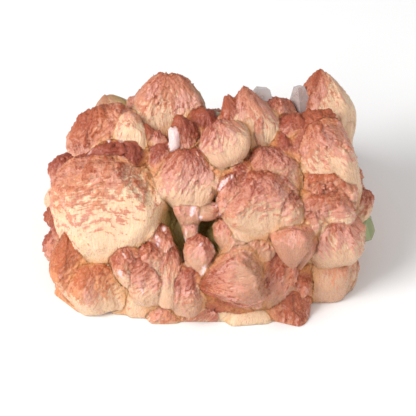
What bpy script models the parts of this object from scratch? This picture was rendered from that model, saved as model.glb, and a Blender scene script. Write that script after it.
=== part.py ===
"""Stilbite specimen: one intergrown cluster of peach stilbite sheaves, cut flat underneath,
with a few green and colourless crystals of another mineral that sit in pockets of it.

The cluster stands on its flat cut. Its show face leans back, and the sheaves are laid out on
that face: x runs across it, y up it and z out of it, in millimetres from the face's centre.
Each sheaf is a half bow tie: a foot inside the cluster, a flank that flares, and a crown.
"""

import math
import random
from typing import NamedTuple

import bmesh
import bpy
from mathutils import Matrix, Vector

MM = 0.001

# The massive stilbite that the sheaves grow from, and the cavity sunk into it.
CORE_CENTRE = Vector((0.0, 1.5, 2.0))
CORE_HALF = Vector((47.0, 34.5, 41.0))
CORE_SEGMENTS = 24
CORE_RINGS = 14
CAVITY_ON_FACE = Vector((-4.0, -8.0, 25.0))
CAVITY_HALF = Vector((12.0, 14.0, 14.0))

CUTTER_HALF_SIDE = 90.0

SHEAF_SEGMENTS = 12
SHEAF_RINGS = 7
SMALL_SEGMENTS = 8
SMALL_RINGS = 5
SMALL_BREADTH = 4.2

# The fused surface: the grain that it is evened to, and the share of its triangles that is kept.
EVENING_GRAIN = 0.0008
KEPT_SHARE = 0.067

# The other mineral: how blunt its crystals are, and the gap that each keeps in its pocket.
PRISM_TIP = 0.5
POCKET_GAP = 0.3


# Colour as linear red, green and blue, then roughness and how much light passes through.
LOOKS = {
    "stilbite_cluster": ((0.66, 0.31, 0.19), 0.45, 0.0),
    "green_crystal": ((0.45, 0.50, 0.24), 0.2, 0.5),
    "clear_crystal_left": ((0.55, 0.42, 0.38), 0.1, 0.8),
    "clear_crystal_right": ((0.55, 0.42, 0.38), 0.1, 0.8),
}


class Face(NamedTuple):
    """A side of the cluster, in millimetres and degrees. turn is its heading about the vertical, with
    0 for the side that faces -Y, and steep is how far it leans up from the ground. Its smooth bulge,
    which the sheaves reach, is half an ellipsoid with these half sizes."""

    turn: float
    steep: float
    centre: tuple
    half_width: float
    half_rise: float
    height: float

    def bulge(self, x, y):
        """How far out the bulge is at a place on the face."""
        left = 1 - (x / self.half_width) ** 2 - (y / self.half_rise) ** 2
        return self.height * math.sqrt(max(BULGE_LEAST, left))

    def to_cluster(self):
        """The matrix from the face's own axes to the cluster's, both in millimetres."""
        return (
            Matrix.Translation(self.centre)
            @ Matrix.Rotation(math.radians(self.turn), 4, "Z")
            @ Matrix.Rotation(math.radians(self.steep), 4, "X")
        )


BULGE_LEAST = 0.04
SHOW_FACE = Face(0, 45, (0.0, -0.5, 19.0), 52.0, 48.0, 24.0)
BACK_FACE = Face(180, 63, (0.0, 25.0, 19.0), 52.0, 36.0, 6.0)
LEFT_FACE = Face(-90, 74, (-37.0, 5.0, 15.0), 36.0, 36.0, 4.0)
RIGHT_FACE = Face(90, 74, (36.5, 5.0, 17.0), 36.0, 36.0, 4.0)


class Sheaf(NamedTuple):
    """One crystal, in face millimetres. lean is how far it tilts out of the face, in degrees, and
    proud is how far its crown stands beyond the bulge. waist is the foot's share of the breadth,
    shoulder is where the flank ends and the crown begins, ridge is the crest's share of the breadth,
    and point is 1 for a straight-sided crown and 2 for a round one."""

    name: str
    foot: tuple
    crown: tuple
    lean: float
    proud: float
    half_breadth: float
    half_thickness: float
    waist: float = 0.65
    shoulder: float = 0.55
    ridge: float = 0.45
    point: float = 1.7
    square: float = 3.0
    peak: float = 0.0
    roll: float = 0.0


FACE_SHEAVES = [
    # The crest of the face, from left to right.
    Sheaf("back_left_slab", (-27.4, 21), (-30.6, 32.4), 9, -9, 7, 4, 0.9, 0.5, 0.1, 1.1),
    Sheaf("dome_neighbour", (-19.8, 21), (-21.6, 31.2), 12, -8, 3.6, 4),
    Sheaf("crown_dome", (-12, 14), (-11.4, 38.3), 18, -1.5, 11.2, 8.5, 0.75, 0.5, 0.06, 1.5),
    Sheaf("saddle", (-0.6, 15), (-1.2, 27.3), 12, -5.5, 5, 5),
    Sheaf("top_wedge", (13.8, 11.4), (10.9, 34.4), 19, 2, 8.4, 7.5, 0.35, 0.5, 0.04, 1.1),
    Sheaf("top_wedge_left", (10, 13), (5.6, 31.6), 19, 0.5, 4, 5.5, 0.6, 0.5, 0.1, 1.2),
    Sheaf("top_wedge_side", (17, 12), (15.6, 29), 18, 0, 3, 5.5, 0.4),
    Sheaf("back_right_slab", (19.8, 15), (20.7, 30.6), 13, -4, 6, 5, 0.8, 0.7, 0.7, 1.6, 3),
    Sheaf("top_right_peak", (35.2, 16), (33.4, 39.3), 17, 3, 10, 8, 0.8, 0.42, 0.04, 1.15),
    Sheaf("right_wall", (39.2, 8), (40.2, 29), 4, -2.2, 3.6, 7, 0.9, 0.7, 0.5, 2),
    # The left half: the great fan with its ledges, and what stands round it.
    Sheaf("upper_left_sheaf", (-28, 9), (-32.1, 27.8), 21, 1, 11, 7.5, 0.8, 0.5, 0.4, 1.6, 3),
    Sheaf("upper_left_side", (-22.5, 9), (-23.2, 26), 17, 1, 4.4, 6, 0.8, 0.6, 0.3, 1.6, 3),
    Sheaf("fan_back_ledge", (-26, 3), (-26.8, 17.2), 24, 1.5, 9.5, 5, 0.8, 0.6, 0.5, 2, 3.5),
    Sheaf("fan_upper_ledge", (-30, 0), (-32.2, 13.6), 25, 2, 11.5, 6, 0.8, 0.6, 0.6, 1.8, 3),
    Sheaf("great_fan", (-30, -17.5), (-30.8, 12.9), 17, 4, 16.4, 11.3, 0.45, 0.5, 0.5, 2, 2.4),
    Sheaf("left_step", (-40.4, 5), (-45.2, 12.8), 15, -5.4, 4.6, 5),
    Sheaf("left_pale_tip", (-42.4, -0.9), (-48.4, 1.8), 12, -5, 4, 4),
    Sheaf("left_scale_upper", (-41.2, -6.6), (-47, -1.8), 15, -5, 4.6, 4.5),
    Sheaf("left_scale_middle", (-39.4, -12.6), (-45.3, -4.2), 18, -2, 4.4, 4.5),
    Sheaf("left_scale_lower", (-41.4, -17.4), (-47.3, -9.6), 13, -5, 5, 5),
    Sheaf("low_left_peak", (-34.8, -28), (-41.2, -9.4), 38, 6.5, 9.4, 6.5, 0.7, 0.55, 0.05, 1.2),
    Sheaf("low_left_ledge", (-30.2, -31), (-34.2, -18), 42, 2, 10, 5.5, 0.8, 0.6, 0.4, 1.8),
    Sheaf("low_left_fan", (-31, -40), (-35, -21.8), 50, -4.5, 13, 7.5, 0.75, 0.55, 0.5, 1.8, 2.8),
    Sheaf("low_left_wedge", (-22.8, -39.5), (-25, -21.8), 48, -4.5, 7.5, 6, 0.75, 0.6, 0.4, 1.6),
    Sheaf("pink_step_left", (-21.6, -24), (-25.2, -14.1), 36, 3, 5, 4, 0.7, 0.6, 0.5, 1.5),
    Sheaf("pink_step_middle", (-17.4, -30), (-19.5, -16.8), 38, 2, 5.5, 4.5, 0.7, 0.6, 0.5, 1.5),
    Sheaf("pink_step_top", (-16.2, -21.6), (-17.4, -12.9), 33, 1, 4, 4, 0.7, 0.6, 0.4, 1.5, 3),
    Sheaf("front_pillar", (-16.5, -41.5), (-17.1, -22), 46, -4.5, 7.5, 6.5, 0.8, 0.6, 0.3, 1.6),
    Sheaf("crevice_wall_left", (-14.4, -27), (-13.5, -7.2), 15, -3, 3.6, 5, 0.8, 0.7, 0.2, 1.4),
    Sheaf("crevice_wall_right", (-12, -31.5), (-11.4, -12), 17, -3, 3, 5, 0.8, 0.7, 0.2, 1.5),
    # The middle: small sheaves under the crest, the cavity and its rim.
    Sheaf("red_prism", (-18.3, 10.5), (-18.3, 23.1), 15, -1.5, 2.2, 2.6),
    Sheaf("small_under_dome", (-14.4, 10.5), (-14.7, 21), 18, -2.5, 3.6, 3, point=1.3),
    Sheaf("bright_plate", (-9.6, 14.4), (-11.1, 22.5), 9, 0, 1.6, 1),
    Sheaf("small_red_block", (-6, 13.5), (-7.8, 25.5), 19, -1, 3.8, 3.5, point=1.3),
    Sheaf("small_left_of_fan", (-13.5, 5.4), (-14.1, 17.1), 21, -2, 4.8, 4, point=1.3),
    Sheaf("cap_sheaf", (7.2, 11.4), (2.2, 23.2), 22, 3, 7.6, 6, 0.6, 0.5, 0.25, 1.5),
    Sheaf("middle_fan", (-5.4, -1.5), (-6, 15), 23, 0, 8.8, 7, 0.6, 0.5, 0.2, 1.5),
    Sheaf("cavity_knob", (-5.7, -8.4), (-5.7, 2.4), 18, -4, 4.5, 4, 0.5),
    Sheaf("cavity_arch", (-2.8, -4.6), (4.4, -1.8), 8, -4, 2.6, 3, 0.6, 0.5, 0.5, 2, 2.2),
    Sheaf("cavity_post", (-5.1, -13.5), (-5.9, -2.8), 12, -5, 2.6, 3, 0.6),
    Sheaf("cavity_lip", (-3.8, -20.6), (-1.6, -10), 18, -3, 4.6, 4.5, 0.6, point=1.5),
    Sheaf("cavity_right_side", (8.4, -15.4), (4.6, -5.1), 18, -4, 4.5, 4.5, 0.6),
    Sheaf("cavity_floor", (-9, -18.6), (-9, -4.5), 12, -12, 4, 4),
    Sheaf("striped_block", (-6.6, -33.6), (-5.8, -18.1), 28, -2, 4.8, 5),
    # The right half.
    Sheaf("red_knob", (24, 6.6), (21.6, 20.1), 20, -1, 5, 5, point=1.3),
    Sheaf("pink_band", (25.6, 15), (27, 25.2), 16, 0, 6.5, 5, 0.8, 0.6, 0.5, 1.6, 3),
    Sheaf("right_fan", (39.2, 1.2), (30, 22.4), 20, 3, 8.6, 8, 0.75, 0.5, 0.7, 2, 3.4),
    Sheaf("right_fan_top", (32.2, 9), (29.6, 26.2), 15, 1.6, 9, 7, 0.8, 0.5, 0.6, 1.6, 3),
    Sheaf("right_ledge", (36.2, -5), (34.8, 8.8), 28, 2, 8.4, 6, 0.8, 0.6, 0.6, 2, 3),
    Sheaf("middle_right_fan", (19.8, -2), (16, 16.6), 20, 0, 10, 6.5, 0.65, 0.5, 0.03, 1.15),
    Sheaf("middle_right_band", (11.6, -1.5), (8.1, 10.7), 21, -1, 6.4, 4.5, 0.8, 0.6, 0.4, 1.6, 3),
    Sheaf("centre_sheaf", (17.1, -10.2), (13.2, 8), 26, 2, 11.2, 8.5, 0.5, 0.5, 0.3, 1.6),
    Sheaf("centre_sheaf_left", (9.6, -7), (6.6, 7.8), 20, 0.5, 5, 5.5, 0.6, 0.5, 0.2, 1.5),
    Sheaf("centre_sheaf_right", (23.4, -9.5), (20.6, 4.4), 18, 1, 5.5, 6, 0.6, 0.5, 0.2, 1.5),
    Sheaf("under_centre", (14.4, -21), (13.6, -8.4), 26, -3, 7, 4, 0.8, 0.6, 0.5, 2),
    Sheaf("short_wedge", (29.4, -11), (29.1, -0.6), 18, 1, 4.6, 4.5, 0.5, 0.5, 0.1, 1.3),
    Sheaf("right_band", (34.8, -9.6), (33.5, 3), 30, 2, 9.4, 6.5, 0.75, 0.6, 0.7, 2, 3),
    Sheaf("right_edge_sheaf", (43.6, -6.6), (46, 3.6), 15, -3.6, 4.6, 5.5),
    Sheaf("right_upper_edge", (42, -2.4), (42.3, 9.6), 9, -4, 3.6, 6),
    Sheaf("low_right_sheaf", (38, -18), (36.8, -3.6), 30, 1.5, 9.2, 7.5, 0.6, 0.5, 0.4, 1.6),
    Sheaf("kite", (24.9, -20.7), (24.6, -7.6), 12, 3.2, 6.4, 4, 0.04, 0.86, 0.7, 2, 3.4),
    Sheaf("kite_side", (27, -21), (30.6, -9.6), 14, 1, 2.5, 4, 0.1, 0.8, 0.4, 1.6),
    Sheaf("low_right_fan", (35.2, -34), (34.2, -13.6), 40, -3.5, 7.8, 5.5, 0.4, 0.7, 0.4, 1.8),
    Sheaf("low_right_blade", (39.4, -31), (40.2, -14.8), 40, -4.5, 4.8, 5, 0.4, 0.7, 0.4, 1.8),
    Sheaf("right_corner", (41, -27), (42.2, -16), 40, -5, 3.2, 4),
    # The foot of the face, from left to right.
    Sheaf("front_wedge", (-2.2, -25.4), (15.6, -21.8), 9, 1.5, 7.8, 7.5, 0.15, 0.85, 0.8, 2.4, 3),
    Sheaf("front_wedge_ledge", (1.2, -28.8), (16.2, -29.7), 6, -2, 2.5, 4, 0.4, 0.8, 0.6, 2),
    Sheaf("behind_front_wedge", (19.8, -31), (19.8, -12.2), 28, -3, 6.6, 5),
    Sheaf("beside_bottom_fan", (25.2, -33.4), (26.1, -18.6), 30, -5, 5, 5),
    Sheaf("bottom_left_block", (-13.5, -43), (-12.8, -29), 50, -5, 5.5, 6),
    Sheaf("bottom_sheaf", (-4.4, -43), (-2.9, -27.1), 50, -6.5, 6.8, 7, point=1.5),
    Sheaf("bottom_rock", (12, -44), (12.6, -31), 40, -8, 10, 7.5, 0.9, 0.7, 0.6, 2),
    Sheaf("bottom_red_block", (10.5, -38.5), (9.9, -29), 45, -6.5, 5, 4),
    Sheaf("bottom_fan", (20.6, -44), (23.6, -25.2), 48, -3.4, 8.2, 8, 0.8, 0.6, 0.4, 1.6),
]


BACK_SHEAVES = [
    Sheaf("back_crest_1", (-34, 2), (-31, 14), 22, -3, 9.5, 7, point=1.5),
    Sheaf("back_crest_2", (-14, 2), (-16, 16), 24, -3, 10.5, 8, peak=0.3),
    Sheaf("back_crest_3", (2, 0), (0, 13), 26, -2, 9, 8, roll=20),
    Sheaf("back_crest_4", (16, 2), (17, 18), 20, -4, 10.5, 8, ridge=0.2, point=1.4),
    Sheaf("back_crest_5", (32, 0), (34, 13), 24, -3, 10, 8, peak=-0.3),
    Sheaf("back_upper_1", (-33, -12), (-34, 3), 24, -2, 8.5, 7.5, roll=-15),
    Sheaf("back_upper_2", (-22, -12), (-25, 5), 25, 0, 12, 9, peak=0.2),
    Sheaf("back_upper_3", (-8, -12), (-8, 3), 30, 0, 8, 7, ridge=0.2, point=1.4),
    Sheaf("back_upper_4", (12, -16), (9, 4), 27, 1, 12.5, 10, peak=-0.3, roll=10),
    Sheaf("back_upper_5", (26, -14), (27, 0), 28, 0, 8, 8, roll=-20),
    Sheaf("back_upper_6", (33, -16), (34.5, 1), 24, -2, 8.5, 8),
    Sheaf("back_low_1", (-33, -30), (-37, -9), 20, -1, 10, 8, ridge=0.3),
    Sheaf("back_low_2", (-20, -32), (-22, -11), 24, 0, 10, 9, roll=12),
    Sheaf("back_low_3", (-4, -32), (-5, -8), 24, 1, 12, 10, peak=0.3, point=1.4),
    Sheaf("back_low_4", (12, -34), (13, -14), 22, 0, 9, 8, roll=-10),
    Sheaf("back_low_5", (26, -32), (25, -9), 24, 0, 11, 9, ridge=0.3, point=1.4),
    Sheaf("back_low_6", (36, -30), (39, -13), 20, -1, 8, 8),
]

LEFT_SHEAVES = [
    Sheaf("left_high", (-14, 0), (-13, 13), 22, -7, 8, 7, roll=15),
    Sheaf("left_upper", (3, -2), (2, 10), 26, -6, 8, 7, ridge=0.3, point=1.4),
    Sheaf("left_middle", (-8, -14), (-7, 2), 26, 0, 8.5, 8),
    Sheaf("left_front", (10, -12), (11, 0), 26, -1, 7, 7, roll=-15),
    Sheaf("left_low_back", (-17, -30), (-17, -7), 18, 0, 9, 8, peak=0.3),
    Sheaf("left_low_middle", (-1, -32), (0, -9), 22, 1, 9.5, 8),
    Sheaf("left_low_front", (13, -28), (14, -11), 20, -1, 7, 7),
]

RIGHT_SHEAVES = [
    Sheaf("right_high", (12, 2), (13, 16), 22, -4, 8.5, 7),
    Sheaf("right_upper", (-4, 0), (-4, 12), 24, -4, 8, 7, ridge=0.3, point=1.4),
    Sheaf("right_middle", (6, -12), (5, 4), 26, -1, 9, 8, roll=12),
    Sheaf("right_low_back", (15, -30), (16, -5), 18, 1, 9.5, 8, peak=-0.3),
    Sheaf("right_low_middle", (-1, -32), (-2, -8), 24, -1, 9, 8),
    Sheaf("right_low_front", (-14, -28), (-14, -10), 22, -3, 7, 7, roll=-12),
]

FACES = [
    (SHOW_FACE, FACE_SHEAVES),
    (BACK_FACE, BACK_SHEAVES),
    (LEFT_FACE, LEFT_SHEAVES),
    (RIGHT_FACE, RIGHT_SHEAVES),
]


class Prism(NamedTuple):
    """A crystal of the other mineral: a four-sided prism with a blunt pyramid on it. foot, crown,
    lean, proud and the half sizes are as in a sheaf, and cap is the pyramid's share of the length."""

    name: str
    foot: tuple
    crown: tuple
    lean: float
    proud: float
    half_breadth: float
    half_thickness: float
    cap: float
    roll: float


PRISMS = [
    Prism("green_crystal", (42.6, -9.0), (49.3, -7.0), 5, -2, 3.9, 3.6, 0.25, 12),
    Prism("clear_crystal_left", (14.4, 23.4), (16.4, 33.2), 15, -4, 3.3, 2.8, 0.4, 25),
    Prism("clear_crystal_right", (28.2, 24.0), (27.0, 33.8), 15, -3, 2.2, 2.4, 0.4, 35),
]


def axis_ends(face, sheaf):
    """A sheaf's foot and crown on a face, with the third number the distance out of it."""
    crown = Vector((*sheaf.crown, face.bulge(*sheaf.crown) + sheaf.proud))
    run = (Vector(sheaf.crown) - Vector(sheaf.foot)).length
    foot = Vector((*sheaf.foot, crown.z - run * math.tan(math.radians(sheaf.lean))))
    return foot, crown


def power(value, exponent):
    """A signed power, for superellipse sections."""
    return math.copysign(abs(value) ** exponent, value)


def section(sheaf, along):
    """The breadth and thickness of a sheaf's section as shares of its half sizes, and how far the
    section has moved towards the peak, at a place from 0 at the foot to 1 at the crown."""
    if along < sheaf.shoulder:
        rise = math.sin(math.pi / 2 * along / sheaf.shoulder)
        wide = sheaf.waist + (1 - sheaf.waist) * rise
        return wide, wide, 0.0
    over = (along - sheaf.shoulder) / (1 - sheaf.shoulder)
    left = (1 - over**sheaf.point) ** (1 / sheaf.point)
    return sheaf.ridge + (1 - sheaf.ridge) * left, left, over**2


def flat_planes(sheaf, points):
    """Seeded planes that give a sheaf its flat faces, each as a normal and its distance out. The
    first is its broad front, and the next ones cut its crown and flanks to a wedge."""
    dice = random.Random(sheaf.name)
    near = dice.uniform
    side = dice.choice((-1, 1))
    blunt = min(1.0, 0.35 + 1.4 * sheaf.ridge)
    for across, through, up, cut in (
        (near(-0.25, 0.25), -1.0, near(0.0, 0.35), near(0.22, 0.32)),
        (near(-1.0, -0.5), -0.7, near(0.5, 1.1), blunt * near(0.14, 0.28)),
        (near(0.5, 1.0), -0.7, near(0.5, 1.1), blunt * near(0.14, 0.28)),
        (side * near(0.8, 1.2), -0.9, near(-0.3, 0.3), near(0.14, 0.26)),
        (near(-1.0, 1.0), near(0.2, 1.0), near(0.0, 0.9), blunt * near(0.12, 0.24)),
    ):
        normal = Vector((across, through, up)).normalized()
        yield normal, (1 - cut) * max(normal.dot(point) for point in points)


def axes(face, crystal):
    """A crystal's foot, its length and its own axes: across it, through it and up it."""
    foot, crown = axis_ends(face, crystal)
    up = (crown - foot).normalized()
    across = up.cross(Vector((0, 0, 1))).normalized()
    across = Matrix.Rotation(math.radians(crystal.roll), 3, up) @ across
    return foot, (crown - foot).length, across, up.cross(across), up


def prism_mesh(face, prism, gap=0.0):
    """One prism in the face's millimetres, larger by gap on every side."""
    foot, length, across, through, up = axes(face, prism)
    shape = bmesh.new()
    bmesh.ops.create_cube(shape, size=2)
    top = max(shape.faces, key=lambda side: side.calc_center_median().z)
    raised = bmesh.ops.extrude_discrete_faces(shape, faces=[top])["faces"][0]
    for vertex in raised.verts:
        vertex.co.z = 2
    for vertex in shape.verts:
        blunt = PRISM_TIP if vertex.co.z > 1.5 else 1.0
        along = {-1: 0.0, 1: 1 - prism.cap, 2: 1.0}[round(vertex.co.z)] * length
        along += gap if along > 0 else -gap
        vertex.co = (
            foot
            + across * vertex.co.x * (blunt * prism.half_breadth + gap)
            + through * vertex.co.y * (blunt * prism.half_thickness + gap)
            + up * along
        )
    return shape


def sheaf_mesh(face, sheaf):
    """One sheaf as a mesh in the face's millimetres."""
    small = sheaf.half_breadth < SMALL_BREADTH
    foot, length, across, through, up = axes(face, sheaf)
    shape = bmesh.new()
    bmesh.ops.create_uvsphere(
        shape,
        u_segments=SMALL_SEGMENTS if small else SHEAF_SEGMENTS,
        v_segments=SMALL_RINGS if small else SHEAF_RINGS,
        radius=1,
    )
    local = []
    for vertex in shape.verts:
        along = math.acos(max(-1.0, min(1.0, -vertex.co.z))) / math.pi
        wide, deep, moved = section(sheaf, along)
        turn = math.atan2(vertex.co.y, vertex.co.x)
        pole = along < 1e-4 or along > 1 - 1e-4
        spread = 0 if pole else 1
        local.append(
            Vector(
                (
                    sheaf.half_breadth
                    * (spread * wide * power(math.cos(turn), 2 / sheaf.square) + moved * sheaf.peak),
                    sheaf.half_thickness * spread * deep * power(math.sin(turn), 2 / sheaf.square),
                    length * along,
                )
            )
        )
    middle = Vector((0, 0, length / 2))
    centred = [point - middle for point in local]
    for normal, reach in flat_planes(sheaf, centred):
        centred = [point - max(0.0, normal.dot(point) - reach) * normal for point in centred]
    for vertex, point in zip(shape.verts, centred):
        point = point + middle
        vertex.co = foot + across * point.x + through * point.y + up * point.z
    return shape


def ellipsoid_mesh(centre, half, segments, rings):
    shape = bmesh.new()
    bmesh.ops.create_uvsphere(shape, u_segments=segments, v_segments=rings, radius=1)
    bmesh.ops.transform(
        shape, matrix=Matrix.Translation(centre) @ Matrix.Diagonal((*half, 1)), verts=shape.verts
    )
    return shape


def block_mesh(centre, half):
    shape = bmesh.new()
    bmesh.ops.create_cube(shape, size=2)
    bmesh.ops.transform(
        shape, matrix=Matrix.Translation(centre) @ Matrix.Diagonal((*half, 1)), verts=shape.verts
    )
    return shape


def new_object(name, shape, collection, matrix):
    """Puts a mesh in millimetres into the scene as an object in metres."""
    bmesh.ops.transform(shape, matrix=Matrix.Scale(MM, 4) @ matrix, verts=shape.verts)
    mesh = bpy.data.meshes.new(name)
    shape.to_mesh(mesh)
    shape.free()
    made = bpy.data.objects.new(name, mesh)
    collection.objects.link(made)
    return made


def new_cutter(name, shape, collection, matrix):
    made = new_object(name, shape, collection, matrix)
    made.hide_render = True
    made.display_type = "WIRE"
    return made


def boolean(target, name, operation, cutter=None, cutters=None, solver="EXACT"):
    """Adds a Boolean to an object, with one other object or a collection of them."""
    cut = target.modifiers.new(name, "BOOLEAN")
    cut.operation = operation
    cut.solver = solver
    if cutters is None:
        cut.object = cutter
    else:
        cut.operand_type = "COLLECTION"
        cut.collection = cutters
    return cut


def coat(obj):
    """Gives an object its own material."""
    colour, roughness, transmission = LOOKS[obj.name]
    material = bpy.data.materials.new(obj.name)
    material.use_nodes = True
    shader = material.node_tree.nodes["Principled BSDF"]
    shader.inputs["Base Color"].default_value = (*colour, 1)
    shader.inputs["Roughness"].default_value = roughness
    shader.inputs["Metallic"].default_value = 0.0
    shader.inputs["Transmission Weight"].default_value = transmission
    obj.data.materials.append(material)


def clear_scene():
    for obj in list(bpy.data.objects):
        bpy.data.objects.remove(obj, do_unlink=True)


def new_collection(name):
    made = bpy.data.collections.new(name)
    bpy.context.scene.collection.children.link(made)
    return made


def build_prisms(specimen, cutters):
    """The other mineral's crystals, and for each the pocket that keeps a fine gap round it."""
    to_cluster = SHOW_FACE.to_cluster()
    pockets = []
    for prism in PRISMS:
        coat(new_object(prism.name, prism_mesh(SHOW_FACE, prism), specimen, to_cluster))
        pocket = prism_mesh(SHOW_FACE, prism, POCKET_GAP)
        pockets.append(new_cutter(prism.name + "_pocket", pocket, cutters, to_cluster))
    return pockets


def build_cluster(specimen, cutters, sheaves, pockets):
    """The stilbite: a massive core with a cavity in it and every sheaf fused to it, evened to one
    closed surface, with few triangles where it is flat, and then cut off flat underneath. The
    pockets for the other mineral's crystals are cut last."""
    here = Matrix.Identity(4)
    core = ellipsoid_mesh(CORE_CENTRE, CORE_HALF, CORE_SEGMENTS, CORE_RINGS)
    cluster = new_object("stilbite_cluster", core, specimen, here)
    coat(cluster)
    hollow = ellipsoid_mesh(CAVITY_ON_FACE, CAVITY_HALF, 16, 10)
    cavity = new_cutter("cavity", hollow, cutters, SHOW_FACE.to_cluster())
    boolean(cluster, "cavity", "DIFFERENCE", cutter=cavity)
    for face, rows in FACES:
        for sheaf in rows:
            new_cutter(sheaf.name, sheaf_mesh(face, sheaf), sheaves, face.to_cluster())
    boolean(cluster, "sheaves", "UNION", cutters=sheaves)
    evened = cluster.modifiers.new("evened", "REMESH")
    evened.mode = "VOXEL"
    evened.voxel_size = EVENING_GRAIN
    fewer = cluster.modifiers.new("fewer", "DECIMATE")
    fewer.ratio = KEPT_SHARE
    below = block_mesh(Vector((0, 0, -CUTTER_HALF_SIDE)), Vector((CUTTER_HALF_SIDE,) * 3))
    ground = new_cutter("ground", below, cutters, here)
    for cutter in (ground, *pockets):
        boolean(cluster, cutter.name, "DIFFERENCE", cutter=cutter, solver="MANIFOLD")
    return cluster


def main():
    clear_scene()
    specimen = new_collection("stilbite_specimen")
    cutters = new_collection("cutters")
    sheaves = new_collection("sheaves")
    pockets = build_prisms(specimen, cutters)
    build_cluster(specimen, cutters, sheaves, pockets)


if __name__ == "__main__":
    main()
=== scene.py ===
"""The looks of a stilbite specimen: a cluster of peach sheaves with red scaly crowns and cream
flanks, and a green and two colourless crystals, on a pale floor under soft studio light.

The sheaves are laid out on the cluster's faces: x runs across a face, y up it and z out of it, in
millimetres from the face's centre. The stilbite has two skins, of the show face and of the rest,
each fused from the sheaves. Every point is moved and coloured by the sheaf that it belongs to.
"""

import math
import random
from typing import NamedTuple

import bmesh
import bpy
import numpy as np
from mathutils import Matrix, Vector


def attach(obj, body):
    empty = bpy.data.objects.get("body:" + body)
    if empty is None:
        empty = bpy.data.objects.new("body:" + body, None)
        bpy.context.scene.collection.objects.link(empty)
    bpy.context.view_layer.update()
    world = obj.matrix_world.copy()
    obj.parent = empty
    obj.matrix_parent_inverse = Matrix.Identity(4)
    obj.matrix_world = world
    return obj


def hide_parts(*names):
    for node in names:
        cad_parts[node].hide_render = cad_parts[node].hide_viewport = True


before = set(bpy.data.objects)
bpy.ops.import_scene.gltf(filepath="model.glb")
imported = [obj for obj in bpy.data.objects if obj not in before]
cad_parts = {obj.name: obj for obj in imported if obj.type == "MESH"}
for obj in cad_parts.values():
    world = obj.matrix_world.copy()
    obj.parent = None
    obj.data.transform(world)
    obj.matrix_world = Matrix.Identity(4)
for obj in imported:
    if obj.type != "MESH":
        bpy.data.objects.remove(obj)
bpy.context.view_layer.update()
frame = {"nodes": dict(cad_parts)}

bl_info = {
    "name": "Stilbite specimen",
    "version": (1, 0, 0),
    "blender": (4, 5, 0),
    "location": "View3D > Sidebar > Stilbite",
    "description": "Grows a cluster of stilbite sheaves with its green and colourless crystals",
    "category": "Object",
}

MM = 0.001

# The massive stilbite that the sheaves grow from, and the cavity sunk into it.
CORE_CENTRE = Vector((0.0, 1.5, 2.0))
CORE_HALF = Vector((47.0, 34.5, 41.0))
CAVITY_ON_FACE = Vector((-4.0, -8.0, 25.0))
CAVITY_HALF = Vector((12.0, 14.0, 14.0))

SHEAF_SEGMENTS = 48
SHEAF_RINGS = 30

# How many rounds the fused skin is evened.
EVENING_ROUNDS = 4

# How wide the evening is that creases are measured against, in square millimetres, and the share
# of a crease's depth that is grown over.
EVENING_SPREAD = 26
CREASE_FILL = 0.75

# The most triangles that a skin has.
TRIANGLES_MOST = 190000

# How far out of the show face's plane its skin is parted from the rest, and how far the two skins
# overlap there, in millimetres.
DIVIDER_HEIGHT = -1.0
DIVIDER_OVERLAP = 2.4

# How far under the show face's bulge a place starts to be deep, over how many more millimetres it
# gets to its deepest, how much sooner both come in the cavity, and how far from the face's middle
# the deep places reach.
DEEP_START = 6.0
DEEP_RUN = 8.0
CAVITY_SOONER = 3.0
DEEP_HALF_WIDTH = 34

# The photo: its side in pixels, how many millimetres one pixel spans at the face's centre, how far
# below its middle the face's centre lies, and how far away the camera stands.
PHOTO_SIDE = 416
MM_PER_PIXEL = 0.3
CENTRE_SHIFT = -8
CAMERA_DISTANCE = 1.0

# How wide the narrow crystals in a sheaf are: their share of its half breadth, and the least and
# most in millimetres.
CRYSTAL_SHARE = 0.36
CRYSTAL_WIDTHS = (1.5, 3.4)

# How much of a sheaf's own tan its flanks show.
TAN_SHARE = 0.85

# The least half breadth, in millimetres, of a sheaf that splays into narrower parts.
SPLAY_LEAST = 4.5


class Face(NamedTuple):
    """A side of the cluster, in millimetres and degrees. turn is its heading about the vertical, with
    0 for the side that faces -Y, and steep is how far it leans up from the ground. Its smooth bulge,
    which the sheaves reach, is half an ellipsoid with these half sizes."""

    turn: float
    steep: float
    centre: tuple
    half_width: float
    half_rise: float
    height: float

    def bulge(self, x, y):
        """How far out the bulge is at a place on the face."""
        left = 1 - (x / self.half_width) ** 2 - (y / self.half_rise) ** 2
        return self.height * math.sqrt(max(BULGE_LEAST, left))

    def to_cluster(self):
        """The matrix from the face's own axes to the cluster's, both in millimetres."""
        return (
            Matrix.Translation(self.centre)
            @ Matrix.Rotation(math.radians(self.turn), 4, "Z")
            @ Matrix.Rotation(math.radians(self.steep), 4, "X")
        )


BULGE_LEAST = 0.04
SHOW_FACE = Face(0, 45, (0.0, -0.5, 19.0), 52.0, 48.0, 24.0)
BACK_FACE = Face(180, 63, (0.0, 25.0, 19.0), 52.0, 36.0, 6.0)
LEFT_FACE = Face(-90, 74, (-37.0, 5.0, 15.0), 36.0, 36.0, 4.0)
RIGHT_FACE = Face(90, 74, (36.5, 5.0, 17.0), 36.0, 36.0, 4.0)


class Sheaf(NamedTuple):
    """One crystal, in face millimetres. lean is how far it tilts out of the face, in degrees, and
    proud is how far its crown stands beyond the bulge. waist is the foot's share of the breadth,
    shoulder is where the flank ends and the crown begins, ridge is the crest's share of the breadth,
    and point is 1 for a straight-sided crown and 2 for a round one."""

    name: str
    foot: tuple
    crown: tuple
    lean: float
    proud: float
    half_breadth: float
    half_thickness: float
    waist: float = 0.65
    shoulder: float = 0.55
    ridge: float = 0.45
    point: float = 1.7
    square: float = 3.0
    peak: float = 0.0
    roll: float = 0.0


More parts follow.
